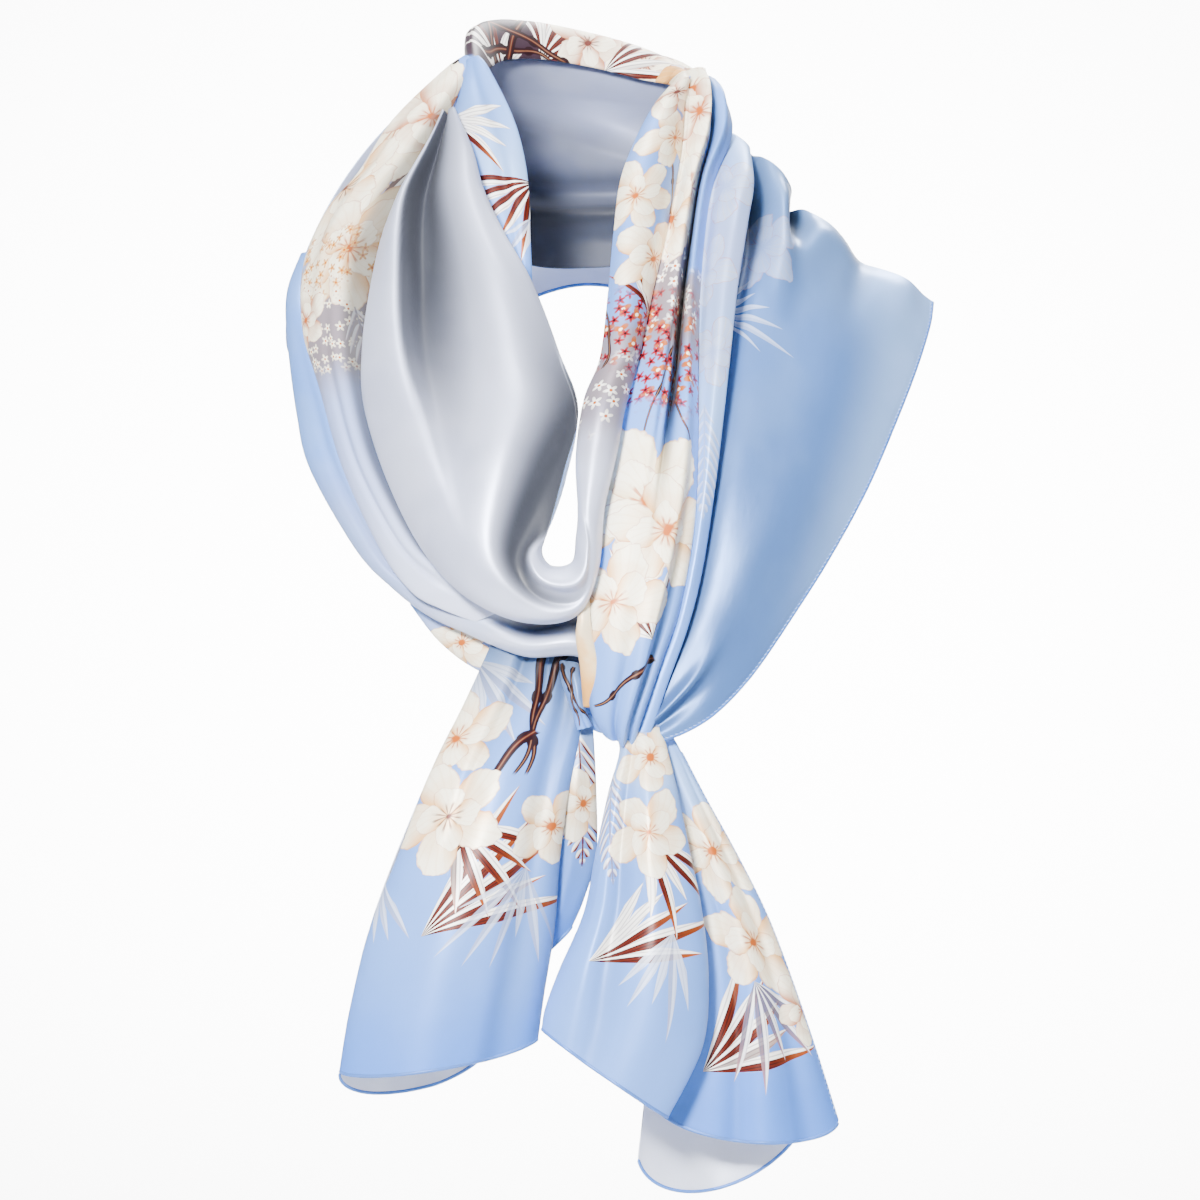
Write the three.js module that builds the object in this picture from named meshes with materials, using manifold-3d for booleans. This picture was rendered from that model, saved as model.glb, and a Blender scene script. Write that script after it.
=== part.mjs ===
// A long silk scarf, worn: wound once round the neck, laid over both shoulders,
// drawn through its own loop on the chest and left hanging in two tails.
// Millimetres, +Z up, front towards -Y. The origin is the middle of the neck,
// level with its base. Every stretch of cloth is a wall lofted through sections
// that run from its left edge to its right edge, as seen by someone facing it.

import * as THREE from "three";
import { mergeVertices } from "three/addons/utils/BufferGeometryUtils.js";
import Module from "manifold-3d";

const wasm = await Module();
wasm.setup();

// Driving dimensions
const WALL = 1.2;          // cloth with its rolled hems and trapped air
const SEAM = 0.3;          // gap kept where one stretch lies on another
const CUT_SIMPLIFY = 0.02; // slivers shorter than this are dropped after a cut
const HOLD_RADII = { x: 17, y: 8, z: 19 };       // cloth bunched inside the loop
const HOLD_CENTRE = { x: 4, y: -119, z: -253 };
const HOLD_STEPS = { round: 16, up: 10 };

const SILVER = { color: 0xc9cddb, roughness: 0.34, metalness: 0.05 };
const BLUE = { color: 0x93b4de, roughness: 0.36, metalness: 0.03 };
const BLOOM = { color: 0xe9dfcf, roughness: 0.4, metalness: 0.02 };

// Each row is one section: its left end, its right end, how far its middle
// stands out of the line between them (crown) and how far the middle hangs
// along the cloth (dip).
const COLUMNS = ["leftX", "leftY", "leftZ", "rightX", "rightY", "rightZ", "crown", "dip"];

// A fold runs along the cloth from (fromAcross, fromAlong) to (toAcross, toAlong),
// as shares of its width and length. It falls away over leftWidth and
// rightWidth, and stands out by height, or sinks in where height is negative.
const FOLD_COLUMNS = [
  "fromAcross", "fromAlong", "toAcross", "toAlong", "leftWidth", "rightWidth", "height",
];

const STRETCHES = [
  {
    name: "neck_roll",           // top of the band, turned over round the nape
    finish: BLOOM,
    across: 6, along: 14, round: 1,
    sections: [
      [-56, -3, 62, -66, 0, 60, 11, 0],
      [-49, 26, 64, -61, 39, 57, 21, 0],
      [-30, 43, 64, -41, 62, 54, 25, 0],
      [-4, 49, 61, -4, 72, 50, 23, 0],
      [20, 45, 57, 26, 66, 46, 20, 0],
      [35, 29, 54, 45, 45, 42, 13, 0],
      [40, 3, 51, 51, 8, 44, 9, 0],
    ],
    folds: [],
  },
  {
    name: "cowl",                // the wide drape, its dull side out
    finish: SILVER,
    across: 11, along: 28, round: 0.6,
    sections: [
      [-78, -16, 40, -73, -18, 42, 1, 0],
      [-87, -30, 20, -64, -42, 21, 5, 0],
      [-100, -38, -4, -58, -58, 0, 8, 0],
      [-109, -46, -25, -48, -72, -21, 10, 0],
      [-115, -56, -50, -34, -88, -46, 12, 0],
      [-119, -68, -78, -20, -104, -82, 14, 0],
      [-118, -82, -108, -11, -116, -110, 15, 0],
      [-106, -102, -146, -18, -130, -140, 16, 0],
      [-88, -120, -181, -26, -139, -170, 15, 0],
      [-66, -131, -204, -29, -143, -181, 13, 3],
      [-38, -138, -216, -24, -145, -188, 11, 3],
      [-12, -141, -213, -14, -145, -186, 10, 3],
      [-1, -142, -190, -9, -142, -174, 9, 0],
      [2, -138, -160, -11, -135, -160, 8, 0],
      [8, -128, -133, -12, -126, -133, 8, 0],
      [11, -122, -119.5, -9, -121, -119.5, 8, 0],
    ],
    folds: [
      [0.3, 0.06, 0.12, 0.62, 0.12, 0.1, 7],
      [0.55, 0.1, 0.32, 0.62, 0.12, 0.16, -9],
      [0.82, 0.2, 0.55, 0.72, 0.2, 0.14, 5],
      [0.9, 0.45, 0.62, 0.7, 0.1, 0.1, -6],
    ],
  },
  {
    name: "inner_strand",        // front edge of the right-hand side
    finish: BLOOM,
    across: 5, along: 12, round: 1,
    sections: [
      [39, -8, 57, 45, -1, 57, 3, 0],
      [27, -27, 43, 42, -14, 42, 6, 0],
      [17, -42, 24, 41, -25, 24, 8, 0],
      [10, -55, 4, 38, -38, 4, 9, 0],
      [7, -68, -20, 33, -54, -22, 9, 0],
      [4, -84, -52, 26, -72, -52, 9, 0],
      [0, -101, -84, 19, -92, -86, 8, 0],
      [-9, -120, -119.2, 11, -116, -119.2, 8, 0],
    ],
    folds: [],
  },
  {
    name: "right_fall",          // two pleats that open into the panel over the loop
    finish: BLOOM,
    across: 9, along: 20, round: 0.7,
    sections: [
      [42, 0, 56, 49, 5, 54, 2, 0],
      [38, -8, 41, 64, 1, 42, 6, 0],
      [37, -18, 24, 65, -12, 28, 8, 0],
      [34, -30, 4, 57, -30, 4, 9, 0],
      [29, -46, -22, 53, -48, -22, 9, 0],
      [22, -64, -52, 50, -67, -54, 9, 0],
      [15, -84, -86, 49, -88, -88, 9, 0],
      [6, -106, -120, 49, -105, -122, 10, 0],
      [-3, -124, -165, 47, -120, -168, 12, 0],
      [-8, -135, -205, 40, -129, -208, 13, 0],
      [-6, -139, -232, 31, -134, -235, 11, 0],
      [-5, -138, -258, 21, -137, -264, 8, 0],
      [1, -133, -271, 17, -133, -277, 4, 1],
    ],
    folds: [
      [0.52, 0.04, 0.62, 0.55, 0.14, 0.05, 4],
      [0.6, 0.04, 0.72, 0.55, 0.05, 0.12, -6],
    ],
  },
  {
    name: "right_pleat",         // ridge between the fall and the shoulder panel
    finish: BLUE,
    across: 4, along: 14, round: 1,
    sections: [
      [60, -1, 32, 86, -3, 15, 3, 0],
      [52, -22, 4, 80, -33, 2, 6, 0],
      [48, -40, -20, 74, -54, -16, 6, 0],
      [46, -57, -50, 69, -72, -48, 6, 0],
      [45, -78, -86, 65, -90, -84, 5, 0],
      [44, -94, -120, 61, -104, -120, 5, 0],
      [43, -106, -150, 57, -114, -152, 4, 0],
      [37, -116, -188, 51, -122, -190, 4, 0],
      [31, -122, -216, 44, -128, -218, 3, 0],
      [22, -126, -241, 34, -131, -246, 3, 0],
      [14, -129, -266, 24, -133, -275, 2, 0],
    ],
    folds: [],
  },
  {
    name: "shoulder_panel",      // plain spread over the right shoulder, to its hem
    finish: BLUE,
    across: 13, along: 15, round: 0.4,
    sections: [
      [76, 0, 18, 167, 0, -55, 0, 8],
      [68, -18, 0, 165, -14, -68, 6, 0],
      [63, -38, -22, 158, -38, -90, 8, 0],
      [58, -58, -52, 147, -62, -118, 10, 0],
      [54, -76, -86, 133, -82, -150, 11, 0],
      [50, -92, -120, 115, -98, -183, 11, 0],
      [46, -104, -152, 96, -110, -213, 10, 0],
      [41, -113, -188, 76, -119, -242, 8, 0],
      [34, -119, -216, 58, -125, -261, 6, 0],
      [26, -123, -240, 42, -129, -271, 4, 0],
      [18, -126, -262, 25, -131, -277, 2, 0],
    ],
    folds: [
      [0.12, 0, 0.12, 0.3, 0.1, 0.09, -7],
      [0.34, 0, 0.26, 0.22, 0.09, 0.12, -8],
      [0.6, 0, 0.4, 0.3, 0.2, 0.16, 4],
    ],
  },
  {
    name: "left_roll",           // rolled outer edge of the cowl, over the left shoulder
    finish: BLOOM,
    across: 6, along: 17, round: 0.8,
    sections: [
      [-68, 0, 68, -63, -5, 66, 2, 0],
      [-79, 0, 60, -70, -12, 51, 4, 0],
      [-104, 2, 35, -81, -17, 28, 8, 0],
      [-121, 3, 7, -88, -22, 12, 11, 0],
      [-138, 3, -14, -96, -27, -6, 13, 0],
      [-148, 0, -41, -106, -36, -32, 14, 0],
      [-148, -17, -71, -112, -50, -67, 12, 0],
      [-140, -35, -98, -113, -61, -95, 10, 0],
      [-128, -62, -140, -105, -80, -136, 8, 0],
      [-109, -88, -181, -84, -103, -178, 6, 0],
      [-94, -105, -201, -72, -114, -195, 4, 0],
      [-80, -112, -209, -68, -117, -204, 2, 0],
    ],
    folds: [],
  },
  {
    name: "left_outer",          // outermost turn, which rounds the loop under the cowl
    finish: BLUE,
    across: 5, along: 19, round: 0.8,
    sections: [
      [-150, 5, -31, -142, 0, -30, 2, 0],
      [-157, 5, -50, -144, -2, -52, 3, 0],
      [-157, 1, -72, -143, -10, -73, 4, 0],
      [-152, -22, -112, -131, -33, -110, 5, 0],
      [-145, -43, -140, -122, -54, -140, 5, 0],
      [-122, -72, -180, -103, -82, -180, 5, 0],
      [-105, -86, -198, -87, -95, -197, 5, 0],
      [-87, -98, -212, -72, -106, -204, 5, 0],
      [-68, -108, -221, -56, -116, -207, 5, 0],
      [-38, -122, -233, -36, -124, -211, 5, 0],
      [-12, -127, -233, -14, -128, -210, 5, 0],
      [4, -124, -242, 4, -123, -221, 4, 0],
    ],
    folds: [],
  },
  {
    name: "lower_sliver",        // edge that peeps out below the outermost turn
    finish: BLOOM,
    across: 4, along: 8, round: 0.7,
    sections: [
      [-95, -84, -207, -88, -88, -203, 2, 0],
      [-80, -91, -226, -70, -97, -216, 3, 0],
      [-61, -99, -240, -54, -105, -226, 3, 0],
      [-34, -109, -250, -32, -112, -232, 3, 0],
      [-6, -117, -253, -6, -118, -240, 3, 0],
    ],
    folds: [],
  },
  {
    name: "left_lapel",          // inner turn that shows between cowl and neck
    finish: BLOOM,
    across: 5, along: 9, round: 0.8,
    sections: [
      [-67, -5, 66, -61, -6, 68, 1, 0],
      [-70, -10, 52, -56, -12, 62, 3, 0],
      [-73, -12, 36, -44, -27, 38, 4, 0],
      [-68, -26, 20, -38, -38, 17, 5, 0],
      [-63, -38, -2, -35.5, -46, -3, 5, 0],
      [-53, -50, -23, -35, -54, -22, 4, 0],
      [-43, -62, -46, -34, -63, -47, 2, 0],
    ],
    folds: [],
  },
  {
    name: "neck_band",           // inside of the turn round the nape, dull side in
    finish: SILVER,
    across: 6, along: 12, round: 0,
    sections: [
      [-61, 0, 62, -52, -2, -30, 2, 0],
      [-53, 30, 66, -46, 26, -34, 2, 0],
      [-31, 50, 67, -27, 45, -38, 2, 0],
      [-4, 56, 64, -3, 50, -38, 2, 0],
      [22, 51, 60, 21, 46, -36, 2, 0],
      [41, 33, 57, 39, 30, -33, 2, 0],
      [47, 4, 52, 47, 2, -30, 2, 0],
    ],
    folds: [
      [0.25, 0.1, 0.36, 0.9, 0.07, 0.1, -3],
      [0.68, 0.15, 0.62, 0.95, 0.07, 0.07, -3],
    ],
  },
  {
    name: "back_drape",          // from shoulder to shoulder down the back
    finish: BLUE,
    across: 9, along: 19, round: 0.2,
    sections: [
      [-66, -2, 66, -157, 4, -58, 16, 0],
      [-62, 30, 60, -151, 48, -86, 4, 0],
      [-39, 57, 56, -98, 84, -84, 3, 4],
      [-4, 67, 53, -8, 92, -46, 1, 0],
      [26, 61, 49, 84, 86, -76, 3, 4],
      [45, 38, 46, 146, 56, -90, 2, 0],
      [54, -1, 42, 167, 0, -57, -12, 0],
    ],
    folds: [
      [0.2, 0.14, 0.7, 0.46, 0.14, 0.1, 5],
      [0.2, 0.86, 0.7, 0.56, 0.1, 0.14, 5],
    ],
  },
  {
    name: "loop_ear",            // turned edge of the fall beside the loop
    finish: BLOOM,
    across: 4, along: 7, round: 1,
    sections: [
      [-10, -143, -212, -5, -143, -213, 2, 0],
      [-12, -142, -224, -3, -142, -226, 3, 0],
      [-10, -140, -236, 1, -142, -238, 3, 0],
      [-9, -138, -247, 0, -141, -247, 3, 0],
      [-8, -132, -258, -2, -138, -258, 2, 0],
    ],
    folds: [],
  },
  {
    name: "loop_twist",          // narrow twist where the left tail leaves the loop
    finish: BLUE,
    across: 4, along: 6, round: 1,
    sections: [
      [-20, -124, -236, -11, -126, -237, 3, 0],
      [-19, -128, -246, -9, -130, -246, 4, 0],
      [-15, -131, -257, -8, -132, -257, 4, 0],
      [-11, -132, -270, -4, -129, -268, 3, 0],
    ],
    folds: [],
  },
  {
    name: "left_tail_front",
    finish: BLUE,
    across: 9, along: 11, round: 0.8,
    sections: [
      [-52, -109, -222, -8, -114, -224, 3, 0],
      [-67, -117, -255, -7, -122, -259, 7, 0],
      [-86, -126, -294, -15, -132, -297, 13, 0],
      [-99, -130, -328, -20, -136, -332, 17, 0],
      [-115, -133, -369, -23, -138, -370, 20, 0],
      [-125, -135, -410, -28, -138, -402, 20, 3],
      [-130, -136, -440, -31, -138, -424, 19, 8],
    ],
    folds: [
      [0.62, 0.12, 0.4, 1, 0.16, 0.2, 5],
      [0.86, 0.12, 0.72, 1, 0.1, 0.1, -4],
    ],
  },
  {
    name: "left_tail_back",
    finish: SILVER,
    across: 7, along: 9, round: 0.8,
    sections: [
      [-52, -106, -232, -6, -112, -240, -1, 0],
      [-67, -113, -256, -8, -112, -260, -2, 0],
      [-86, -122, -294, -24, -112, -300, -5, 0],
      [-115, -130, -369, -46, -112, -372, -9, 2],
      [-130, -134.5, -441, -58, -112, -432, -12, 15],
    ],
    folds: [],
  },
  {
    name: "left_tail_side",      // second fold of the left tail, behind its front
    finish: BLUE,
    across: 5, along: 8, round: 0.9,
    sections: [
      [-12, -122, -262, -4, -122, -262, 2, 0],
      [-20, -128, -297, -2, -127, -299, 4, 0],
      [-26, -125, -332, -2, -125, -332, 5, 0],
      [-30, -124, -358, -8, -124, -354, 5, 0],
      [-34, -124, -386, -14, -124, -368, 4, 2],
    ],
    folds: [],
  },
  {
    name: "right_tail_front",
    finish: BLUE,
    across: 8, along: 12, round: 0.8,
    sections: [
      [4, -122, -262, 28, -124, -262, 4, 0],
      [10, -130, -278, 33, -131, -278, 6, 0],
      [4, -136, -302, 39, -138, -303, 10, 0],
      [-2, -138, -331, 45, -142, -332, 14, 0],
      [-8, -140, -361, 51, -144, -362, 16, 0],
      [-20, -142, -389, 54, -146, -394, 18, 0],
      [-27, -143, -408, 51, -148, -428, 17, 0],
      [-29, -144, -419, 34, -150, -463, 14, 2],
    ],
    folds: [
      [0.4, 0.15, 0.66, 1, 0.2, 0.12, 5],
      [0.2, 0.2, 0.35, 1, 0.1, 0.12, -4],
    ],
  },
  {
    name: "right_tail_side",
    finish: BLUE,
    across: 7, along: 12, round: 0.8,
    sections: [
      [14, -117, -262, 30, -116, -262, 2, 0],
      [27, -122, -278, 39, -121, -278, 3, 0],
      [33, -124, -302, 52, -121, -303, 4, 0],
      [38, -124, -331, 68, -118, -332, 8, 0],
      [44, -123, -361, 83, -116, -362, 10, 0],
      [46, -123, -392, 95, -115, -393, 12, 0],
      [40, -123, -425, 107, -114, -428, 14, 2],
      [29, -123, -459, 119, -113, -466, 14, 13],
    ],
    folds: [[0.5, 0.3, 0.6, 1, 0.15, 0.15, 5]],
  },
  {
    name: "right_tail_back",
    finish: SILVER,
    across: 7, along: 11, round: 0.8,
    sections: [
      [6, -112, -262, 26, -112, -262, -1, 0],
      [14, -112, -300, 50, -117, -300, -2, 0],
      [22, -110, -361, 81, -112, -362, -4, 0],
      [24, -110, -428, 99, -111, -424, -8, 8],
      [19, -112, -484, 105, -110.5, -458, -9, 27],
    ],
    folds: [],
  },
];

// Where two stretches meet, the one named first gives way to those after it.
const GIVES_WAY = {
  cowl: ["neck_roll"],
  inner_strand: ["neck_roll", "cowl"],
  right_fall: ["neck_roll", "inner_strand", "cowl"],
  right_pleat: ["neck_roll", "right_fall", "inner_strand"],
  shoulder_panel: ["right_pleat", "right_fall"],
  left_roll: ["neck_roll", "cowl"],
  left_outer: ["left_roll", "cowl", "right_fall"],
  lower_sliver: ["left_outer", "left_roll"],
  left_lapel: ["neck_roll", "cowl", "left_roll"],
  neck_band: ["neck_roll", "left_lapel", "inner_strand", "right_fall", "cowl"],
  back_drape: [
    "neck_roll", "left_roll", "left_outer", "right_fall", "right_pleat", "shoulder_panel",
    "neck_band",
  ],
  loop_ear: ["cowl", "right_fall", "left_outer", "inner_strand"],
  loop_twist: ["loop_ear", "left_outer", "right_fall"],
  left_tail_front: ["left_outer", "loop_twist", "lower_sliver", "right_fall"],
  left_tail_back: ["left_tail_front", "left_outer", "lower_sliver"],
  left_tail_side: ["left_tail_front", "loop_twist", "left_tail_back", "right_fall"],
  right_tail_front: ["right_fall", "right_pleat", "shoulder_panel", "left_tail_side"],
  right_tail_side: ["right_tail_front", "right_fall", "right_pleat", "shoulder_panel"],
  right_tail_back: ["right_tail_side", "right_tail_front", "left_tail_side", "left_tail_back"],
};

// Smooth curve through a column of numbers, at a share of the way along it.
function along(values, share) {
  const place = share * (values.length - 1);
  const at = Math.min(Math.floor(place), values.length - 2);
  const t = place - at;
  const before = values[Math.max(at - 1, 0)];
  const start = values[at];
  const end = values[at + 1];
  const after = values[Math.min(at + 2, values.length - 1)];
  const startSlope = (end - before) / 2;
  const endSlope = (after - start) / 2;
  const bend = 3 * (end - start) - 2 * startSlope - endSlope;
  const twist = 2 * (start - end) + startSlope + endSlope;
  return start + t * (startSlope + t * (bend + t * twist));
}

function section(stretch, share) {
  const values = COLUMNS.map((name, column) =>
    along(stretch.sections.map((row) => row[column]), share));
  const [leftX, leftY, leftZ, rightX, rightY, rightZ, crown, dip] = values;
  const left = new THREE.Vector3(leftX, leftY, leftZ);
  const right = new THREE.Vector3(rightX, rightY, rightZ);
  return { left, right, crown, dip };
}

// Height of all folds at a share across and a share along the cloth: each is a
// bell across its line, easing in and out over its first and last tenth.
function foldHeight(folds, across, alongShare) {
  const EASE = 0.1;
  let height = 0;
  for (const row of folds) {
    const fold = Object.fromEntries(FOLD_COLUMNS.map((name, i) => [name, row[i]]));
    const span = fold.toAlong - fold.fromAlong;
    const share = (alongShare - fold.fromAlong) / span;
    const open = fold.fromAlong === 0 ? 1 : THREE.MathUtils.smoothstep(share, -EASE, EASE);
    const close = fold.toAlong === 1 ? 1 : THREE.MathUtils.smoothstep(1 - share, -EASE, EASE);
    const line = THREE.MathUtils.lerp(
      fold.fromAcross, fold.toAcross, THREE.MathUtils.clamp(share, 0, 1));
    const off = across - line;
    const reach = off < 0 ? fold.leftWidth : fold.rightWidth;
    height += fold.height * open * close * Math.exp(-((off / reach) ** 2));
  }
  return height;
}

// Points of the middle of the wall, as rows along the cloth. Across a section
// the points run evenly or, where it is round, bunch at its edges as on half
// an ellipse, and stand out by the crown and the folds.
function middle(stretch) {
  const STEP = 0.01;
  const rows = [];
  for (let j = 0; j < stretch.along; j += 1) {
    const share = j / (stretch.along - 1);
    const here = section(stretch, share);
    const ahead = section(stretch, Math.min(share + STEP, 1));
    const behind = section(stretch, Math.max(share - STEP, 0));
    const chord = here.right.clone().sub(here.left);
    const flow = ahead.left.add(ahead.right).sub(behind.left).sub(behind.right).normalize();
    const out = new THREE.Vector3().crossVectors(flow, chord).normalize();
    const row = [];
    for (let i = 0; i < stretch.across; i += 1) {
      const even = i / (stretch.across - 1);
      const bunched = (1 - Math.cos(Math.PI * even)) / 2;
      const across = THREE.MathUtils.lerp(even, bunched, stretch.round);
      const arch = Math.sin(Math.PI * even);
      const edges = Math.min(1, arch * 2);
      const lift = here.crown * arch + foldHeight(stretch.folds, across, share) * edges;
      const point = here.left.clone().addScaledVector(chord, across);
      point.addScaledVector(out, lift).addScaledVector(flow, here.dip * arch);
      row.push(point);
    }
    rows.push(row);
  }
  return rows;
}

// Closed wall on a grid of middle points. Grown, it is thicker by the seam gap
// on each face and reaches further by the same gap at each edge.
function wall(rows, grow) {
  const last = rows.length - 1;
  const end = rows[0].length - 1;
  const at = (j, i) => rows[Math.min(Math.max(j, 0), last)][Math.min(Math.max(i, 0), end)];
  const faces = [[], []];
  const half = WALL / 2 + grow;
  rows.forEach((row, j) => row.forEach((point, i) => {
    const acrossWay = at(j, i + 1).clone().sub(at(j, i - 1)).normalize();
    const alongWay = at(j + 1, i).clone().sub(at(j - 1, i)).normalize();
    const out = new THREE.Vector3().crossVectors(alongWay, acrossWay).normalize();
    const place = point.clone();
    if (i === 0) place.addScaledVector(acrossWay, -grow);
    if (i === end) place.addScaledVector(acrossWay, grow);
    if (j === 0) place.addScaledVector(alongWay, -grow);
    if (j === last) place.addScaledVector(alongWay, grow);
    faces[0].push(place.clone().addScaledVector(out, half));
    faces[1].push(place.clone().addScaledVector(out, -half));
  }));
  const across = end + 1;
  const count = rows.length * across;
  const index = [];
  const quad = (a, b, c, d) => index.push(a, b, c, a, c, d);
  for (let j = 0; j < last; j += 1) {
    for (let i = 0; i < end; i += 1) {
      const a = j * across + i;
      quad(a, a + across, a + across + 1, a + 1);
      quad(a + count, a + count + 1, a + count + across + 1, a + count + across);
    }
    const left = j * across;
    const right = left + end;
    quad(left, left + count, left + count + across, left + across);
    quad(right, right + across, right + across + count, right + count);
  }
  for (let i = 0; i < end; i += 1) {
    const foot = last * across + i;
    quad(i, i + 1, i + 1 + count, i + count);
    quad(foot, foot + count, foot + count + 1, foot + 1);
  }
  const geometry = new THREE.BufferGeometry().setFromPoints(faces.flat());
  geometry.setIndex(index);
  return geometry;
}

function solidOf(geometry) {
  const bare = geometry.clone();
  bare.deleteAttribute("normal");
  bare.deleteAttribute("uv");
  const merged = mergeVertices(bare, 1e-5);
  return new wasm.Manifold(new wasm.Mesh({
    numProp: 3,
    vertProperties: new Float32Array(merged.attributes.position.array),
    triVerts: new Uint32Array(merged.index.array),
  }));
}

function geometryOf(solid) {
  const mesh = solid.getMesh();
  const geometry = new THREE.BufferGeometry();
  geometry.setAttribute("position", new THREE.BufferAttribute(mesh.vertProperties, 3));
  geometry.setIndex(new THREE.BufferAttribute(mesh.triVerts, 1));
  return geometry;
}

function largest(solid) {
  const bodies = solid.decompose();
  return bodies.reduce((best, body) => (body.volume() > best.volume() ? body : best));
}

// Cloth bunched inside the loop: a rounded solid that every stretch runs into.
function holdGeometry(grow) {
  const { round, up } = HOLD_STEPS;
  const geometry = new THREE.SphereGeometry(1, round, up);
  geometry.rotateX(Math.PI / 2);
  geometry.scale(HOLD_RADII.x + grow, HOLD_RADII.y + grow, HOLD_RADII.z + grow);
  geometry.translate(HOLD_CENTRE.x, HOLD_CENTRE.y, HOLD_CENTRE.z);
  return geometry;
}

const grown = {};
for (const stretch of STRETCHES) grown[stretch.name] = solidOf(wall(middle(stretch), SEAM));
const grownHold = solidOf(holdGeometry(SEAM));

const group = new THREE.Group();
function addPiece(name, geometry, finish) {
  const mesh = new THREE.Mesh(geometry, new THREE.MeshStandardMaterial(finish));
  mesh.name = name;
  group.add(mesh);
}

for (const stretch of STRETCHES) {
  let solid = solidOf(wall(middle(stretch), 0));
  for (const name of GIVES_WAY[stretch.name] ?? []) solid = solid.subtract(grown[name]);
  solid = solid.subtract(grownHold);
  addPiece(stretch.name, geometryOf(largest(solid).simplify(CUT_SIMPLIFY)), stretch.finish);
}
addPiece("loop_hold", holdGeometry(0), BLUE);

export default group;
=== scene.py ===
"""A long silk satin scarf, worn: wound once round the neck, spread over one
shoulder, drawn through its own loop and left hanging in two tails. This file
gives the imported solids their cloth: thin folded sheets, print, hems and light."""
import math

import bpy
import numpy as np
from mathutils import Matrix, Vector


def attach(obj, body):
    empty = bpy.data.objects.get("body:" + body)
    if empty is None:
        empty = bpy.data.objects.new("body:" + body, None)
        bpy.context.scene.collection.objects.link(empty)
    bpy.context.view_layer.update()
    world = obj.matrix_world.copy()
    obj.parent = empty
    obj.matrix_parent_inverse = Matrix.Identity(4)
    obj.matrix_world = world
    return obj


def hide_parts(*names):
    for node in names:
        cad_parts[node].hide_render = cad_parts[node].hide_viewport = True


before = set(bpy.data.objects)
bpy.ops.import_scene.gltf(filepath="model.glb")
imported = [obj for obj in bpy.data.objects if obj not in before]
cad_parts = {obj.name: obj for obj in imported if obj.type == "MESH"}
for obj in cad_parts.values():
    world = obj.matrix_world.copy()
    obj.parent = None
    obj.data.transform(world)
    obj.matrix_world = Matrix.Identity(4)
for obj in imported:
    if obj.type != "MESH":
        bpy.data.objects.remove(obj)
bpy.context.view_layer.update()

MM = 0.001
TAU = 2 * math.pi
THICK = 0.5 * MM             # satin with the body of its weave
HEM_RADII = (0.95 * MM, 0.7 * MM)
HEM_SIDES = 10
STITCH_PITCH = 2.6 * MM
STITCH_RADII = (0.95 * MM, 0.22 * MM, 0.22 * MM)
SHADE = 0.06                 # the part of a colour left where the painted shade is 1
HOLLOW = 12                  # a fold this deep, in millimetres, counts as fully deep
HOLLOW_SHADE = 0.35          # the painted shade that a fully deep fold gets from its depth
RIPPLE = 0.35                # height of the slow ripples, in millimetres
HOLD_RADII = (17, 8, 19)     # cloth bunched inside the loop, in millimetres
HOLD_CENTRE = (4, -119, -253)

# A stretch of cloth. Sections, in millimetres: left end x y z, right end x y z,
# crown (how far the middle stands out of the line between the ends) and dip (how
# far it hangs along the cloth). A fold is its reach to the left and the right,
# in shares of the width, and its points: section number, share across, height
# in millimetres, below zero where it sinks. The painted shade lists, in the same
# way, how much shade is painted into the colour, in hollows, in creases and
# under other layers: 0 is none and 1 is all, and what adds up to more counts as
# 1. grid is the number of points across and along, and round how much closer
# they lie at the edges. firm is how soon folds reach their height from the edges.
# cut is the flat width and length in metres, and area the flat area in square
# metres, of what shows. sides are the finishes of the face that looks out and of
# the face behind it.

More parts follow.
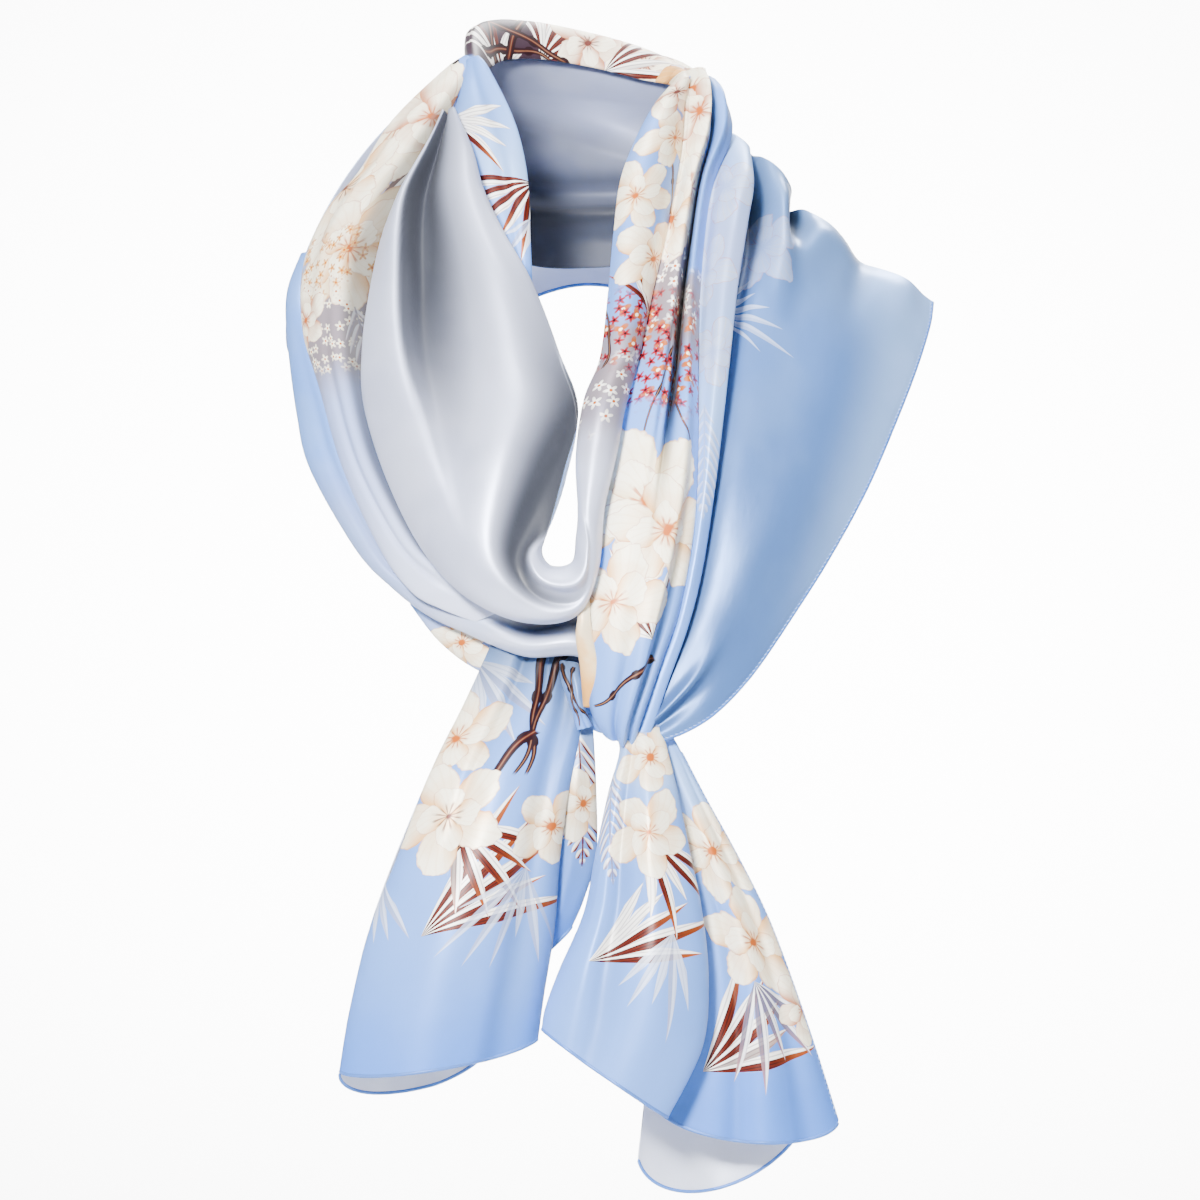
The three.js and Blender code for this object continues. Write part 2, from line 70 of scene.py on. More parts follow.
STRETCHES = {
    "neck_roll": dict(
        replaces=["neck_roll"], slot="floral_print", sides=("nape_print", "silver_satin"),
        grid=(40, 110), round=1.0, cut=(0.0616, 0.2242), area=0.0101,
        sections=[
            [-58, -7, 59, -67, -5, 57, 9, 0],
            [-49, 26, 66, -61, 39, 60, 23, 0],
            [-30, 43, 67, -41, 62, 58, 26, 0],
            [-4, 49, 63, -4, 72, 52, 24, 0],
            [20, 45, 57, 26, 66, 46, 20, 0],
            [35, 29, 54, 45, 45, 42, 13, 0],
            [40, 3, 51, 51, 8, 44, 9, 0],
        ],
        folds=[
            (0.05, 0.14, [(0.2, 0.5, 0), (1.4, 0.42, -2.4), (2.8, 0.4, -2), (3.6, 0.4, 0)]),
            # where the roll is turned over itself, past the middle of the nape
            (0.14, 0.03, [(2.8, 0.98, 0), (3.5, 0.8, 3), (4.4, 0.6, 3.4), (5.4, 0.4, 2),
                          (6, 0.3, 1)]),
            (0.03, 0.12, [(2.8, 1.0, 0), (3.5, 0.86, -3), (4.4, 0.66, -3.4), (5.4, 0.46, -2.4),
                          (6, 0.36, -1)]),
            (0.07, 0.05, [(0.4, 0.8, 0), (1.8, 0.74, -1.8), (3.2, 0.72, 0)]),
        ],
    ),
    "cowl_and_strand": dict(
        replaces=["cowl", "inner_strand"], slot="silver_reverse",
        sides=("cowl_silver", "cowl_inside"),
        grid=(100, 300), round=0.6, firm=8, cut=(0.1331, 0.6311), area=0.0365,
        sections=[
            [-78, -16, 40, -73, -18, 42, 1, 0],
            [-87, -30, 20, -64, -42, 21, 5, 0],
            [-100, -38, -4, -58, -58, 0, 8, 0],
            [-109, -46, -25, -48, -72, -21, 10, 0],
            [-115, -56, -50, -34, -88, -46, 12, 0],
            [-119, -68, -78, -20, -104, -82, 14, 0],
            [-118, -82, -108, -11, -116, -110, 15, 0],
            [-106, -102, -146, -18, -130, -140, 16, 0],
            [-88, -120, -181, -26, -139, -170, 15, 0],
            [-66, -131, -204, -29, -143, -181, 13, 3],
            [-38, -138, -216, -24, -145, -188, 11, 3],
            [-12, -141, -213, -14, -145, -186, 10, 3],
            [-1, -142, -190, -12, -142, -174, 9, 0],
            [2, -138, -160, -11, -135, -160, 8, 0],
            [8, -128, -133, -12, -126, -133, 8, 0],
            [13, -115, -107, -8, -117, -105, 8.5, 0],
            [19, -92, -86, 0, -101, -84, 9, 0],
            [26, -72, -52, 4, -84, -52, 9, 0],
            [33, -54, -22, 7, -68, -20, 9, 0],
            [38, -38, 4, 10, -55, 4, 9, 0],
            [41, -25, 24, 17, -42, 24, 8, 0],
            [42, -14, 42, 27, -27, 43, 6, 0],
            [45, -1, 57, 39, -8, 57, 3, 0],
        ],
        folds=[
            # the long roll down the left, which ends in a sharp edge
            (0.19, 0.06, [(0.2, 0.04, 1), (1.2, 0.08, 4), (2.2, 0.18, 8), (3.2, 0.23, 9),
                          (4.4, 0.22, 6), (5.2, 0.22, 2), (5.8, 0.24, 0)]),
            # and further down in a soft one
            (0.2, 0.11, [(3.6, 0.2, 0), (4.6, 0.2, 3), (5.6, 0.22, 6), (6.6, 0.27, 3.6),
                         (7.8, 0.36, 0)]),
            # the deep hollow under that edge, opening gently to the right
            (0.07, 0.26, [(0.4, 0.12, -3), (1.2, 0.17, -8), (2.4, 0.29, -13), (3.6, 0.34, -12),
                          (4.8, 0.34, -8), (5.8, 0.36, -5), (6.8, 0.4, -2), (7.6, 0.46, 0)]),
            # the main drape's broad back
            (0.22, 0.15, [(0.6, 0.9, 0), (2.4, 0.88, 5), (4.4, 0.83, 7), (6.2, 0.76, 6),
                          (7.4, 0.66, 4), (8.4, 0.52, 2), (9.4, 0.36, 0)]),
            # its inner side turned away, down to the hollow by the cup
            (0.1, 0.3, [(4.4, 1.04, 0), (5.6, 1.0, -5), (6.4, 0.97, -10), (7.1, 0.92, -13),
                        (7.8, 0.86, -13), (8.4, 0.76, -9), (9.0, 0.68, -5), (9.8, 0.58, -4),
                        (10.6, 0.34, -3), (11.3, 0.26, 0)]),
            # the lip round the cup, which runs up the strand
            (0.1, 0.4, [(7.6, 0.99, 0), (8.2, 0.97, 6), (8.7, 0.94, 8), (9.4, 0.89, 8),
                        (10.2, 0.82, 7), (11, 0.6, 4), (12, 0.62, 2), (13, 0.8, 0)]),
            # the broad foot of the drape
            (0.2, 0.16, [(7.8, 0.06, 0), (9, 0.12, 2.5), (10.2, 0.14, 3), (11.2, 0.12, 2.5),
                         (12, 0.2, 0)]),
        ],
        # painted shade: the hollow under the roll's edge, the top of the cowl, its right edge and
        # the valley by the cup
        painted_shade=[
            (0.014, 0.36, [(0.1, 0.04, 0.6), (1.2, 0.09, 0.9), (2.2, 0.2, 0.9), (3.2, 0.26, 0.85),
                           (4.2, 0.25, 0.62), (5.2, 0.26, 0.3), (6, 0.28, 0)]),
            (0.5, 0.8, [(0.1, 0.5, 0.25), (1.2, 0.5, 0.14), (3, 0.5, 0.04), (4.4, 0.5, 0)]),
            (0.014, 0.2, [(3, 0.26, 0), (4.0, 0.255, 0.15), (4.8, 0.26, 0.36), (5.6, 0.27, 0.4),
                          (6.4, 0.32, 0.28), (7.4, 0.4, 0)]),
            (0.2, 0.2, [(3.6, 1.04, 0), (4.8, 1.04, 0.3), (6.0, 1.04, 0.4), (6.8, 1.0, 0.1),
                        (7.2, 1.0, 0)]),
            (0.13, 0.14, [(5.2, 1.02, 0), (6.1, 1.0, 0.7), (6.6, 0.98, 1.1), (7.2, 0.95, 1.5),
                          (7.8, 0.88, 1.6), (8.3, 0.81, 1.5), (8.8, 0.74, 1.2), (9.4, 0.66, 0.8),
                          (10.2, 0.5, 0.4), (11, 0.3, 0)]),
        ],
    ),
    "right_fall": dict(
        replaces=["right_fall"], slot="floral_print", sides=("fall_print", "silver_satin"),
        grid=(84, 200), round=0.7, cut=(0.0698, 0.3992), area=0.0229,
        sections=[
            [35, 14, 55, 57, 20, 44, 13, 0],
            [37, -6, 47, 64, 3, 42, 9, 0],
            [36, -18, 25, 66, -12, 28, 9, 0],
            [34, -30, 4, 57, -30, 4, 9, 0],
            [29, -46, -22, 53, -48, -22, 9, 0],
            [22, -64, -52, 50, -67, -54, 9, 0],
            [15, -84, -86, 49, -88, -88, 9, 0],
            [6, -106, -120, 49, -105, -122, 10, 0],
            [-3, -124, -165, 47, -120, -168, 12, 0],
            [-8, -135, -205, 40, -129, -208, 13, 0],
            [-6, -139, -232, 31, -134, -235, 11, 0],
            [-5, -138, -258, 21, -137, -264, 8, 0],
            [1, -133, -271, 17, -133, -277, 4, 1],
        ],
        folds=[
            # the front pleat's round back, then its sharp edge
            (0.26, 0.022, [(0.1, 0.5, 1), (1.5, 0.54, 5), (3, 0.62, 6), (5, 0.62, 6),
                           (6.4, 0.52, 4), (7.6, 0.46, 0)]),
            # the gap behind that edge
            (0.02, 0.07, [(0.1, 0.56, -2), (1.5, 0.6, -6), (3, 0.69, -8), (4.6, 0.69, -11),
                          (6.2, 0.66, -14), (7, 0.62, -7), (8, 0.58, 0)]),
            # the back pleat, a narrow tube
            (0.08, 0.07, [(0.4, 0.82, 2), (3, 0.86, 4), (6, 0.88, 4), (8, 0.86, 2), (10, 0.8, 0)]),
            # a crease along the front pleat
            (0.05, 0.12, [(0.2, 0.2, -1), (1.4, 0.24, -3), (3, 0.3, -2.6), (4.6, 0.3, -1.6),
                          (6, 0.26, 0)]),
            # the turned edge low down, and gathers towards the loop
            (0.16, 0.03, [(7, 0.88, 0), (8, 0.8, 3), (9.4, 0.74, 4), (10.8, 0.74, 3),
                          (12, 0.7, 2)]),
            (0.03, 0.1, [(7, 0.96, 0), (8, 0.88, -4), (9.4, 0.82, -5), (10.8, 0.82, -4),
                         (12, 0.78, -2)]),
            (0.09, 0.09, [(9.2, 0.5, 0), (10.6, 0.5, -2.6), (11.4, 0.5, -3.6), (12, 0.5, -3)]),
        ],
        # painted shade: in the gap behind the front pleat's edge, and along the left edge
        painted_shade=[
            (0.02, 0.08, [(0.4, 0.58, 0.3), (3, 0.68, 0.35), (4.6, 0.7, 0.8), (6.4, 0.68, 0.85),
                          (7.4, 0.62, 0.2), (8, 0.6, 0)]),
            (0.1, 0.06, [(0.2, 0.0, 0.16), (4, 0.0, 0.14), (8, 0.0, 0.14), (12, 0.0, 0.2)]),
        ],
    ),
    "right_pleat": dict(
        replaces=["right_pleat"], slot="blue_ground", sides=("pleat_print", "silver_satin"),
        grid=(40, 160), round=1.0, cut=(0.0380, 0.3416), area=0.0089,
        sections=[
            [60, -1, 32, 75, -3, 22, 2, 0],
            [52, -22, 4, 77, -33, 4, 6, 0],
            [48, -40, -20, 74, -54, -16, 6, 0],
            [46, -57, -50, 69, -72, -48, 6, 0],
            [45, -78, -86, 65, -90, -84, 5, 0],
            [44, -94, -120, 61, -104, -120, 5, 0],
            [43, -106, -150, 57, -114, -152, 4, 0],
            [37, -116, -188, 51, -122, -190, 4, 0],
            [31, -122, -216, 44, -128, -218, 3, 0],
            [22, -126, -241, 34, -131, -246, 3, 0],
            [14, -129, -266, 24, -133, -275, 2, 0],
        ],
        folds=[
            (0.2, 0.1, [(0.2, 0.86, 0), (1.4, 0.88, 2.5), (4, 0.86, 3), (7, 0.84, 2), (9, 0.8, 0)]),
            (0.05, 0.16, [(0.2, 0.28, 0), (1.4, 0.3, -3.5), (3.4, 0.3, -3), (5.4, 0.26, 0)]),
        ],
    ),
    "shoulder_panel": dict(
        replaces=["shoulder_panel"], slot="blue_ground", sides=("panel_blue", "silver_satin"),
        grid=(150, 170), round=0.4, firm=7, cut=(0.1530, 0.3084), area=0.0278,
        sections=[
            [76, 0, 18, 167, 0, -55, 0, 8],
            [68, -18, 0, 165, -14, -68, 6, 0],
            [63, -38, -22, 158, -38, -90, 8, 0],
            [58, -58, -52, 147, -62, -118, 10, 0],
            [54, -76, -86, 133, -82, -150, 11, 0],
            [50, -92, -120, 115, -98, -183, 11, 0],
            [46, -104, -152, 96, -110, -213, 10, 0],
            [41, -113, -188, 76, -119, -242, 8, 0],
            [34, -119, -216, 58, -125, -261, 6, 0],
            [26, -123, -240, 42, -129, -271, 4, 0],
            [18, -126, -262, 25, -131, -277, 2, 0],
        ],
        folds=[
            # first pocket
            (0.06, 0.04, [(0, 0.0, 0), (0.3, 0.02, -2), (0.8, 0.09, -13), (1.3, 0.12, -13),
                          (2.0, 0.13, -6), (3.4, 0.11, -2.5), (5, 0.12, 0)]),
            # the fold over the shoulder that it lies behind
            (0.14, 0.13, [(-0.2, 0.11, 8), (0.2, 0.12, 8.5), (0.6, 0.15, 9), (1, 0.17, 4),
                          (1.4, 0.18, 0)]),
            (0.07, 0.07, [(0.4, 0.17, 0), (0.9, 0.19, 7), (1.4, 0.21, 10), (1.9, 0.24, 7),
                          (2.4, 0.27, 2), (3, 0.3, 0)]),
            # second pocket, closed below
            (0.022, 0.03, [(-0.2, 0.246, -11), (0.25, 0.256, -9), (0.6, 0.27, -4), (0.9, 0.28, 0)]),
            (0.045, 0.06, [(0.05, 0.26, 0), (0.4, 0.268, -8), (0.7, 0.28, -13), (1.1, 0.285, -12),
                           (1.5, 0.28, -6), (1.8, 0.28, 0)]),
            # the second fold, which runs into the first under the pocket
            (0.1, 0.12, [(-0.2, 0.44, 4), (0.5, 0.43, 5), (0.9, 0.4, 6), (1.4, 0.34, 6),
                         (1.75, 0.29, 6), (2.1, 0.25, 3), (2.6, 0.24, 0)]),
            # the saddle and the third fold, by the corner
            (0.07, 0.07, [(-0.2, 0.635, -3.8), (0.6, 0.63, -3.6), (1.4, 0.62, -2), (2.4, 0.61, 0)]),
            (0.11, 0.09, [(-0.2, 0.85, 5.5), (0.8, 0.84, 4), (2, 0.8, 0)]),
            # the belly, and the hollow beside the pleat
            (0.2, 0.2, [(1.5, 0.64, 0), (3.2, 0.66, 2.5), (5, 0.64, 3), (7, 0.6, 0)]),
            (0.08, 0.12, [(2.6, 0.06, 0), (4.2, 0.08, -2), (6.6, 0.14, -3), (8.4, 0.24, 0)]),
            # the small turned fold at the bottom
            (0.1, 0.04, [(7.2, 0.62, 0), (8.2, 0.62, 3), (9.2, 0.6, 3.2), (10, 0.6, 2)]),
            (0.05, 0.14, [(7.2, 0.72, 0), (8.2, 0.7, -2.6), (9.2, 0.68, -3), (10, 0.66, -2)]),
        ],
        # painted shade: beside the pleat, in the two pockets and over the lower half
        painted_shade=[
            (0.08, 0.08, [(0.4, 0.0, 0.22), (2, 0.0, 0.2), (5, 0.02, 0.16), (9, 0.08, 0.14)]),
            (0.06, 0.06, [(-0.2, 0.25, 0.2), (0.6, 0.28, 0.4), (1.3, 0.28, 0.3), (1.6, 0.28, 0)]),
            (0.06, 0.04, [(0.3, 0.04, 0), (0.7, 0.08, 0.4), (1.2, 0.11, 0.4), (1.9, 0.12, 0.15),
                          (3, 0.1, 0)]),
            (0.3, 0.4, [(3, 0.5, 0), (5, 0.5, 0.1), (8, 0.4, 0.18), (10, 0.4, 0.18)]),
        ],
    ),
    "left_roll": dict(
        replaces=["left_roll"], slot="floral_print", sides=("roll_print", "silver_satin"),
        grid=(56, 170), round=0.8, cut=(0.0674, 0.3578), area=0.0144,
        sections=[
            [-68, 0, 68, -63, -5, 66, 2, 0],
            [-79, 0, 60, -70, -12, 51, 4, 0],
            [-104, 2, 35, -81, -17, 28, 8, 0],
            [-121, 3, 7, -88, -22, 12, 11, 0],
            [-138, 3, -14, -96, -27, -6, 13, 0],
            [-148, 0, -41, -106, -36, -32, 14, 0],
            [-148, -17, -71, -112, -50, -67, 12, 0],
            [-140, -35, -98, -113, -61, -95, 10, 0],
            [-128, -62, -140, -105, -80, -136, 8, 0],
            [-109, -88, -181, -84, -103, -178, 6, 0],
            [-94, -105, -201, -66, -118, -190, 4, 0],
            [-80, -112, -209, -54, -122, -198, 2, 0],
            [-62, -117, -216, -44, -124, -208, 1, 0],
        ],
        folds=[
            (0.14, 0.1, [(0.6, 0.3, 0), (2.4, 0.3, -1.8), (4.6, 0.26, -2.4), (7, 0.3, 0)]),
            (0.1, 0.16, [(1.6, 0.7, 0), (3.6, 0.72, 1.8), (6.4, 0.66, 2.2), (9, 0.6, 0)]),
            (0.07, 0.07, [(6, 0.5, 0), (7.6, 0.46, -1.6), (9.6, 0.5, -1.8), (11, 0.5, 0)]),
        ],
        # painted shade: along the right edge, where it goes under the cowl
        painted_shade=[
            (0.09, 0.5, [(0.4, 0.94, 0), (1.6, 0.9, 0.5), (5, 0.84, 0.7), (8, 0.84, 0.7),
                         (12, 0.84, 0.6)]),
        ],
    ),
    "left_outer": dict(
        replaces=["left_outer"], slot="blue_ground", sides=("outer_turn", "silver_satin"),
        grid=(40, 180), round=0.8, cut=(0.0306, 0.3267), area=0.0073,
        sections=[
            [-150, 5, -31, -142, 0, -30, 2, 0],
            [-157, 5, -50, -144, -2, -52, 3, 0],
            [-157, 1, -72, -143, -10, -73, 4, 0],
            [-152, -22, -112, -131, -33, -110, 5, 0],
            [-145, -43, -140, -122, -54, -140, 5, 0],
            [-122, -72, -180, -103, -82, -180, 5, 0],
            [-105, -86, -198, -87, -95, -197, 5, 0],
            [-87, -98, -212, -72, -106, -204, 5, 0],
            [-68, -108, -221, -56, -116, -207, 5, 0],
            [-38, -122, -233, -36, -124, -211, 5, 0],
            [-12, -127, -233, -14, -128, -210, 5, 0],
            [4, -124, -242, 4, -123, -221, 4, 0],
        ],
        folds=[
            (0.12, 0.1, [(2, 0.55, 0), (4.6, 0.6, -1.5), (7, 0.6, -2), (8.4, 0.6, 0)]),
            # the dark pocket under the wide drape
            (0.16, 0.16, [(8.1, 0.7, 0), (8.9, 0.62, -5), (9.5, 0.66, -6), (10.1, 0.72, -4),
                          (10.8, 0.8, 0)]),
            (0.12, 0.12, [(8, 0.24, 0), (9.2, 0.22, 2), (10.4, 0.3, 1.6), (11, 0.3, 0)]),
        ],
        # painted shade: in the dark pocket under the wide drape
        painted_shade=[
            (0.22, 0.4, [(8.2, 0.7, 0), (8.8, 0.64, 0.5), (9.4, 0.62, 0.75), (10, 0.68, 0.75),
                         (10.6, 0.8, 0.5), (11, 0.8, 0.3)]),
        ],
    ),
    "lower_sliver": dict(
        replaces=["lower_sliver"], slot="floral_print", sides=("sliver_print", "silver_satin"),
        grid=(20, 60), round=0.7, cut=(0.0199, 0.1030), area=0.0018,
        sections=[
            [-95, -84, -207, -88, -88, -203, 2, 0],
            [-80, -91, -226, -70, -97, -216, 3, 0],
            [-61, -99, -240, -54, -105, -226, 3, 0],
            [-34, -109, -250, -32, -112, -232, 3, 0],
            [-6, -117, -253, -6, -118, -240, 3, 0],
        ],
        folds=[],
    ),
    "left_lapel": dict(
        replaces=["left_lapel"], slot="floral_print", sides=("lapel_print", "silver_satin"),
        grid=(36, 80), round=0.8, cut=(0.0361, 0.1309), area=0.0032,
        sections=[
            [-67, -5, 66, -61, -6, 68, 1, 0],
            [-70, -10, 52, -56, -12, 62, 3, 0],
            [-73, -12, 36, -44, -27, 38, 4, 0],
            [-68, -26, 20, -38, -38, 17, 5, 0],
            [-63, -38, -2, -35.5, -46, -3, 5, 0],
            [-53, -50, -23, -35, -54, -22, 4, 0],
            [-43, -62, -46, -34, -63, -47, 2, 0],
        ],
        folds=[(0.12, 0.12, [(0.3, 0.55, 0), (2, 0.6, -1.4), (4, 0.62, -1.8), (6, 0.6, 0)])],
        # painted shade: along the left edge
        painted_shade=[
            (0.14, 0.2, [(0.4, 0.0, 0.12), (3, 0.0, 0.12), (6, 0.1, 0.14)]),
        ],
    ),
    "neck_band": dict(
        replaces=["neck_band"], slot="silver_reverse", sides=("band_blue", "band_silver"),
        grid=(90, 110), round=0.0, cut=(0.1132, 0.1696), area=0.0172,
        sections=[
            [-61, 0, 62, -52, -2, -30, 2, 0],
            [-53, 30, 66, -46, 26, -34, 2, 0],
            [-31, 50, 67, -27, 45, -38, 2, 0],
            [-4, 56, 64, -3, 50, -38, 2, 0],
            [22, 51, 60, 21, 46, -36, 2, 0],
            [41, 33, 57, 39, 30, -33, 2, 0],
            [47, 4, 52, 47, 2, -30, 2, 0],
        ],
        folds=[
            # short wrinkles low in the band
            (0.05, 0.04, [(0.8, 0.62, 0), (2, 0.64, 2.4), (4, 0.61, 2.6), (5.2, 0.6, 0)]),
            (0.03, 0.05, [(0.8, 0.72, 0), (2, 0.735, -2.6), (4, 0.69, -2.6), (5.2, 0.66, 0)]),
            (0.18, 0.09, [(0.4, 0.08, 0), (1.6, 0.18, 2.4), (3, 0.24, 3.6), (4.6, 0.36, 3.4),
                          (6, 0.5, 2)]),
            (0.06, 0.2, [(0.4, 0.26, 0), (1.6, 0.36, -2.4), (3, 0.42, -3), (4.6, 0.52, -2.6),
                         (6, 0.64, 0)]),
            (0.14, 0.05, [(0.6, 0.68, 0), (2, 0.65, 3), (4, 0.65, 3.6), (5.8, 0.66, 2)]),
            (0.05, 0.1, [(0.6, 0.78, 0), (2, 0.75, -2.6), (4, 0.75, -3), (5.8, 0.76, -2)]),
            (0.06, 0.05, [(1.6, 0.88, 0), (3, 0.87, 1.8), (4.4, 0.9, 1.6), (5.4, 0.88, 0)]),
        ],
        # painted shade: in the creases, along the top under the roll, and deepest low in the band
        painted_shade=[
            (0.025, 0.05, [(0.8, 0.74, 0), (2, 0.745, 0.3), (4, 0.7, 0.3), (5.2, 0.66, 0)]),
            (0.05, 0.025, [(0.8, 0.56, 0), (2, 0.575, 0.16), (4, 0.545, 0.16), (5.2, 0.54, 0)]),
            (0.42, 0.6, [(0, 0.95, 0.9), (1.4, 0.92, 0.9), (3, 0.9, 0.8), (4.6, 0.9, 0.72),
                         (6, 0.9, 0.65)]),
            (0.3, 0.4, [(0, 0.2, 0.35), (1.4, 0.1, 0.2), (3, 0.02, 0.14), (6, 0.0, 0.14)]),
            (0.06, 0.1, [(0.6, 0.3, 0.18), (2, 0.32, 0.16), (4, 0.42, 0.12), (5.4, 0.56, 0.12)]),
        ],
    ),
    "back_drape": dict(
        replaces=["back_drape"], slot="blue_ground", sides=("back_print", "silver_satin"),
        grid=(120, 190), round=0.2, cut=(0.1740, 0.4570), area=0.0462,
        sections=[
            [-66, -2, 66, -157, 4, -58, 16, 0],
            [-62, 30, 60, -151, 48, -86, 4, 0],
            [-39, 57, 56, -98, 84, -84, 3, 4],
            [-4, 67, 53, -8, 92, -46, 1, 0],
            [26, 61, 49, 84, 86, -76, 3, 4],
            [45, 38, 46, 146, 56, -90, 2, 0],
            [54, -1, 42, 167, 0, -57, -12, 0],
        ],
        folds=[
            # swags that hang from one shoulder to the other
            (0.05, 0.11, [(0.5, 0.18, 0), (1.6, 0.3, -4), (3, 0.4, -3), (4.4, 0.3, -4),
                          (5.5, 0.2, 0)]),
            (0.1, 0.06, [(0.5, 0.32, 0), (1.8, 0.46, 5), (3, 0.58, 4), (4.2, 0.46, 5),
                         (5.4, 0.34, 0)]),
            (0.05, 0.1, [(0.8, 0.46, 0), (1.9, 0.62, -5), (3, 0.76, -3), (4.1, 0.6, -5),
                         (5.2, 0.48, 0)]),
            (0.1, 0.05, [(0.9, 0.66, 0), (1.9, 0.78, 3.5), (2.6, 0.9, 0)]),
            (0.1, 0.05, [(3.4, 0.9, 0), (4.2, 0.78, 3.5), (5.1, 0.66, 0)]),
        ],
    ),
    "loop_ear": dict(
        replaces=["loop_ear"], slot="floral_print", sides=("ear_print", "silver_satin"),
        grid=(22, 36), round=1.0, cut=(0.0138, 0.0605), area=0.00064,
        sections=[
            [-12, -136, -203, -5, -137, -204, 2, 0],
            [-11, -143, -213, -5, -143, -214, 2, 0],
            [-12, -142, -224, -3, -142, -226, 3, 0],
            [-10, -140, -236, 1, -142, -238, 3, 0],
            [-9, -138, -247, 0, -141, -247, 3, 0],
            [-8, -132, -258, -2, -138, -258, 2, 0],
        ],
        folds=[],
    ),
    "loop_twist": dict(
        replaces=["loop_twist"], slot="blue_ground", sides=("twist_print", "silver_satin"),
        grid=(22, 36), round=1.0, cut=(0.0151, 0.0361), area=0.00047,
        sections=[
            [-20, -124, -236, -11, -126, -237, 3, 0],
            [-19, -128, -246, -9, -130, -246, 4, 0],
            [-15, -131, -257, -8, -132, -257, 4, 0],
            [-11, -132, -270, -4, -129, -268, 3, 0],
        ],
        folds=[(0.1, 0.1, [(0, 0.4, -1), (1.5, 0.6, -1.6), (3, 0.5, -1)])],
        # painted shade: over the whole twist, most at its top
        painted_shade=[
            (2, 2, [(0, 0.5, 0.6), (1, 0.5, 0.25), (2.4, 0.5, 0.08)]),
        ],
    ),
    "left_tail_front": dict(
        replaces=["left_tail_front"], slot="blue_ground",
        sides=("left_tail_print", "silver_satin"),
        grid=(100, 140), round=0.8, cut=(0.1162, 0.2313), area=0.0203,
        sections=[
            [-52, -109, -222, -8, -114, -224, 3, 0],
            [-67, -117, -255, -7, -122, -259, 7, 0],
            [-86, -126, -294, -15, -132, -297, 13, 0],
            [-99, -130, -328, -20, -136, -332, 17, 0],
            [-115, -133, -369, -23, -138, -370, 20, 0],
            [-125, -135, -410, -28, -138, -402, 20, 3],
            [-130, -136, -440, -31, -138, -424, 19, 8],
        ],
        folds=[
            (0.2, 0.2, [(0.3, 0.6, 0), (2, 0.54, 3), (4, 0.48, 4), (6, 0.42, 4)]),
            (0.07, 0.1, [(0, 0.78, -3), (2, 0.82, -4.5), (4, 0.81, -5), (6, 0.78, -4)]),
            (0.05, 0.1, [(0, 0.4, -4), (1, 0.36, -4), (2.2, 0.32, -2), (3.4, 0.3, 0)]),
            (0.04, 0.06, [(0, 0.62, -4), (0.8, 0.64, -3.6), (2, 0.66, 0)]),
        ],
        # painted shade: across the top under the cowl, at the top right corner and down the right
        # edge
        painted_shade=[
            (2, 2, [(0, 0.5, 0.8), (0.3, 0.5, 0.5), (0.8, 0.5, 0.12), (1.3, 0.5, 0)]),
            (0.2, 0.2, [(0, 1.0, 0.9), (0.6, 0.98, 0.8), (1.1, 1.0, 0.3), (1.5, 1.0, 0)]),
            (0.08, 0.12, [(0.4, 0.98, 0.16), (3, 1.0, 0.14), (6, 1.0, 0.08)]),
        ],
    ),
    "left_tail_back": dict(
        replaces=["left_tail_back"], slot="silver_reverse", sides=("silver_pale", "plain_blue"),
        grid=(52, 110), round=0.8, cut=(0.0913, 0.2270), area=0.0152,
        sections=[
            [-52, -106, -232, -6, -112, -240, -1, 0],
            [-67, -113, -256, -8, -112, -260, -2, 0],
            [-86, -122, -294, -24, -112, -300, -5, 0],
            [-115, -130, -369, -46, -112, -372, -9, 2],
            [-130, -134.5, -441, -58, -112, -432, -12, 15],
        ],
        folds=[
            (0.14, 0.14, [(0.5, 0.45, 0), (2, 0.45, -2), (4, 0.42, -2.5)]),
            (0.08, 0.08, [(1, 0.74, 0), (2.4, 0.74, 1.8), (4, 0.74, 2)]),
        ],
        # painted shade: over the whole piece, most at its top
        painted_shade=[
            (2, 2, [(0, 0.5, 0.3), (2.6, 0.5, 0.15), (3.2, 0.5, 0)]),
        ],
    ),
    "left_tail_side": dict(
        replaces=["left_tail_side"], slot="blue_ground", sides=("side_print", "silver_satin"),
        grid=(32, 70), round=0.9, cut=(0.0301, 0.1192), area=0.0026,
        sections=[
            [-12, -122, -262, -4, -122, -262, 2, 0],
            [-20, -128, -297, -2, -127, -299, 4, 0],
            [-26, -125, -332, -2, -125, -332, 5, 0],
            [-30, -124, -358, -8, -124, -354, 5, 0],
            [-34, -124, -386, -14, -124, -368, 4, 2],
        ],
        folds=[(0.14, 0.14, [(0.4, 0.5, 0), (2, 0.5, 1.2), (4, 0.5, 1.2)])],
        # painted shade: over the whole piece, most at its top
        painted_shade=[
            (2, 2, [(0, 0.5, 0.2), (2, 0.5, 0.12), (4, 0.5, 0.04)]),
        ],
    ),
    "right_tail_front": dict(
        replaces=["right_tail_front"], slot="blue_ground",
        sides=("right_tail_print", "silver_satin"),
        grid=(90, 140), round=0.8, cut=(0.0964, 0.1924), area=0.0131,
        sections=[
            [4, -122, -262, 28, -124, -262, 4, 0],
            [10, -130, -278, 33, -131, -278, 6, 0],
            [4, -136, -302, 39, -138, -303, 10, 0],
            [-2, -138, -331, 45, -142, -332, 14, 0],
            [-8, -140, -361, 51, -144, -362, 16, 0],
            [-20, -142, -389, 54, -146, -394, 18, 0],
            [-27, -143, -408, 51, -148, -428, 17, 0],
            [-29, -144, -419, 34, -150, -463, 14, 2],
        ],
        folds=[
            (0.14, 0.08, [(0.2, 0.14, 1), (2, 0.14, 3), (4, 0.16, 3), (7, 0.2, 2)]),
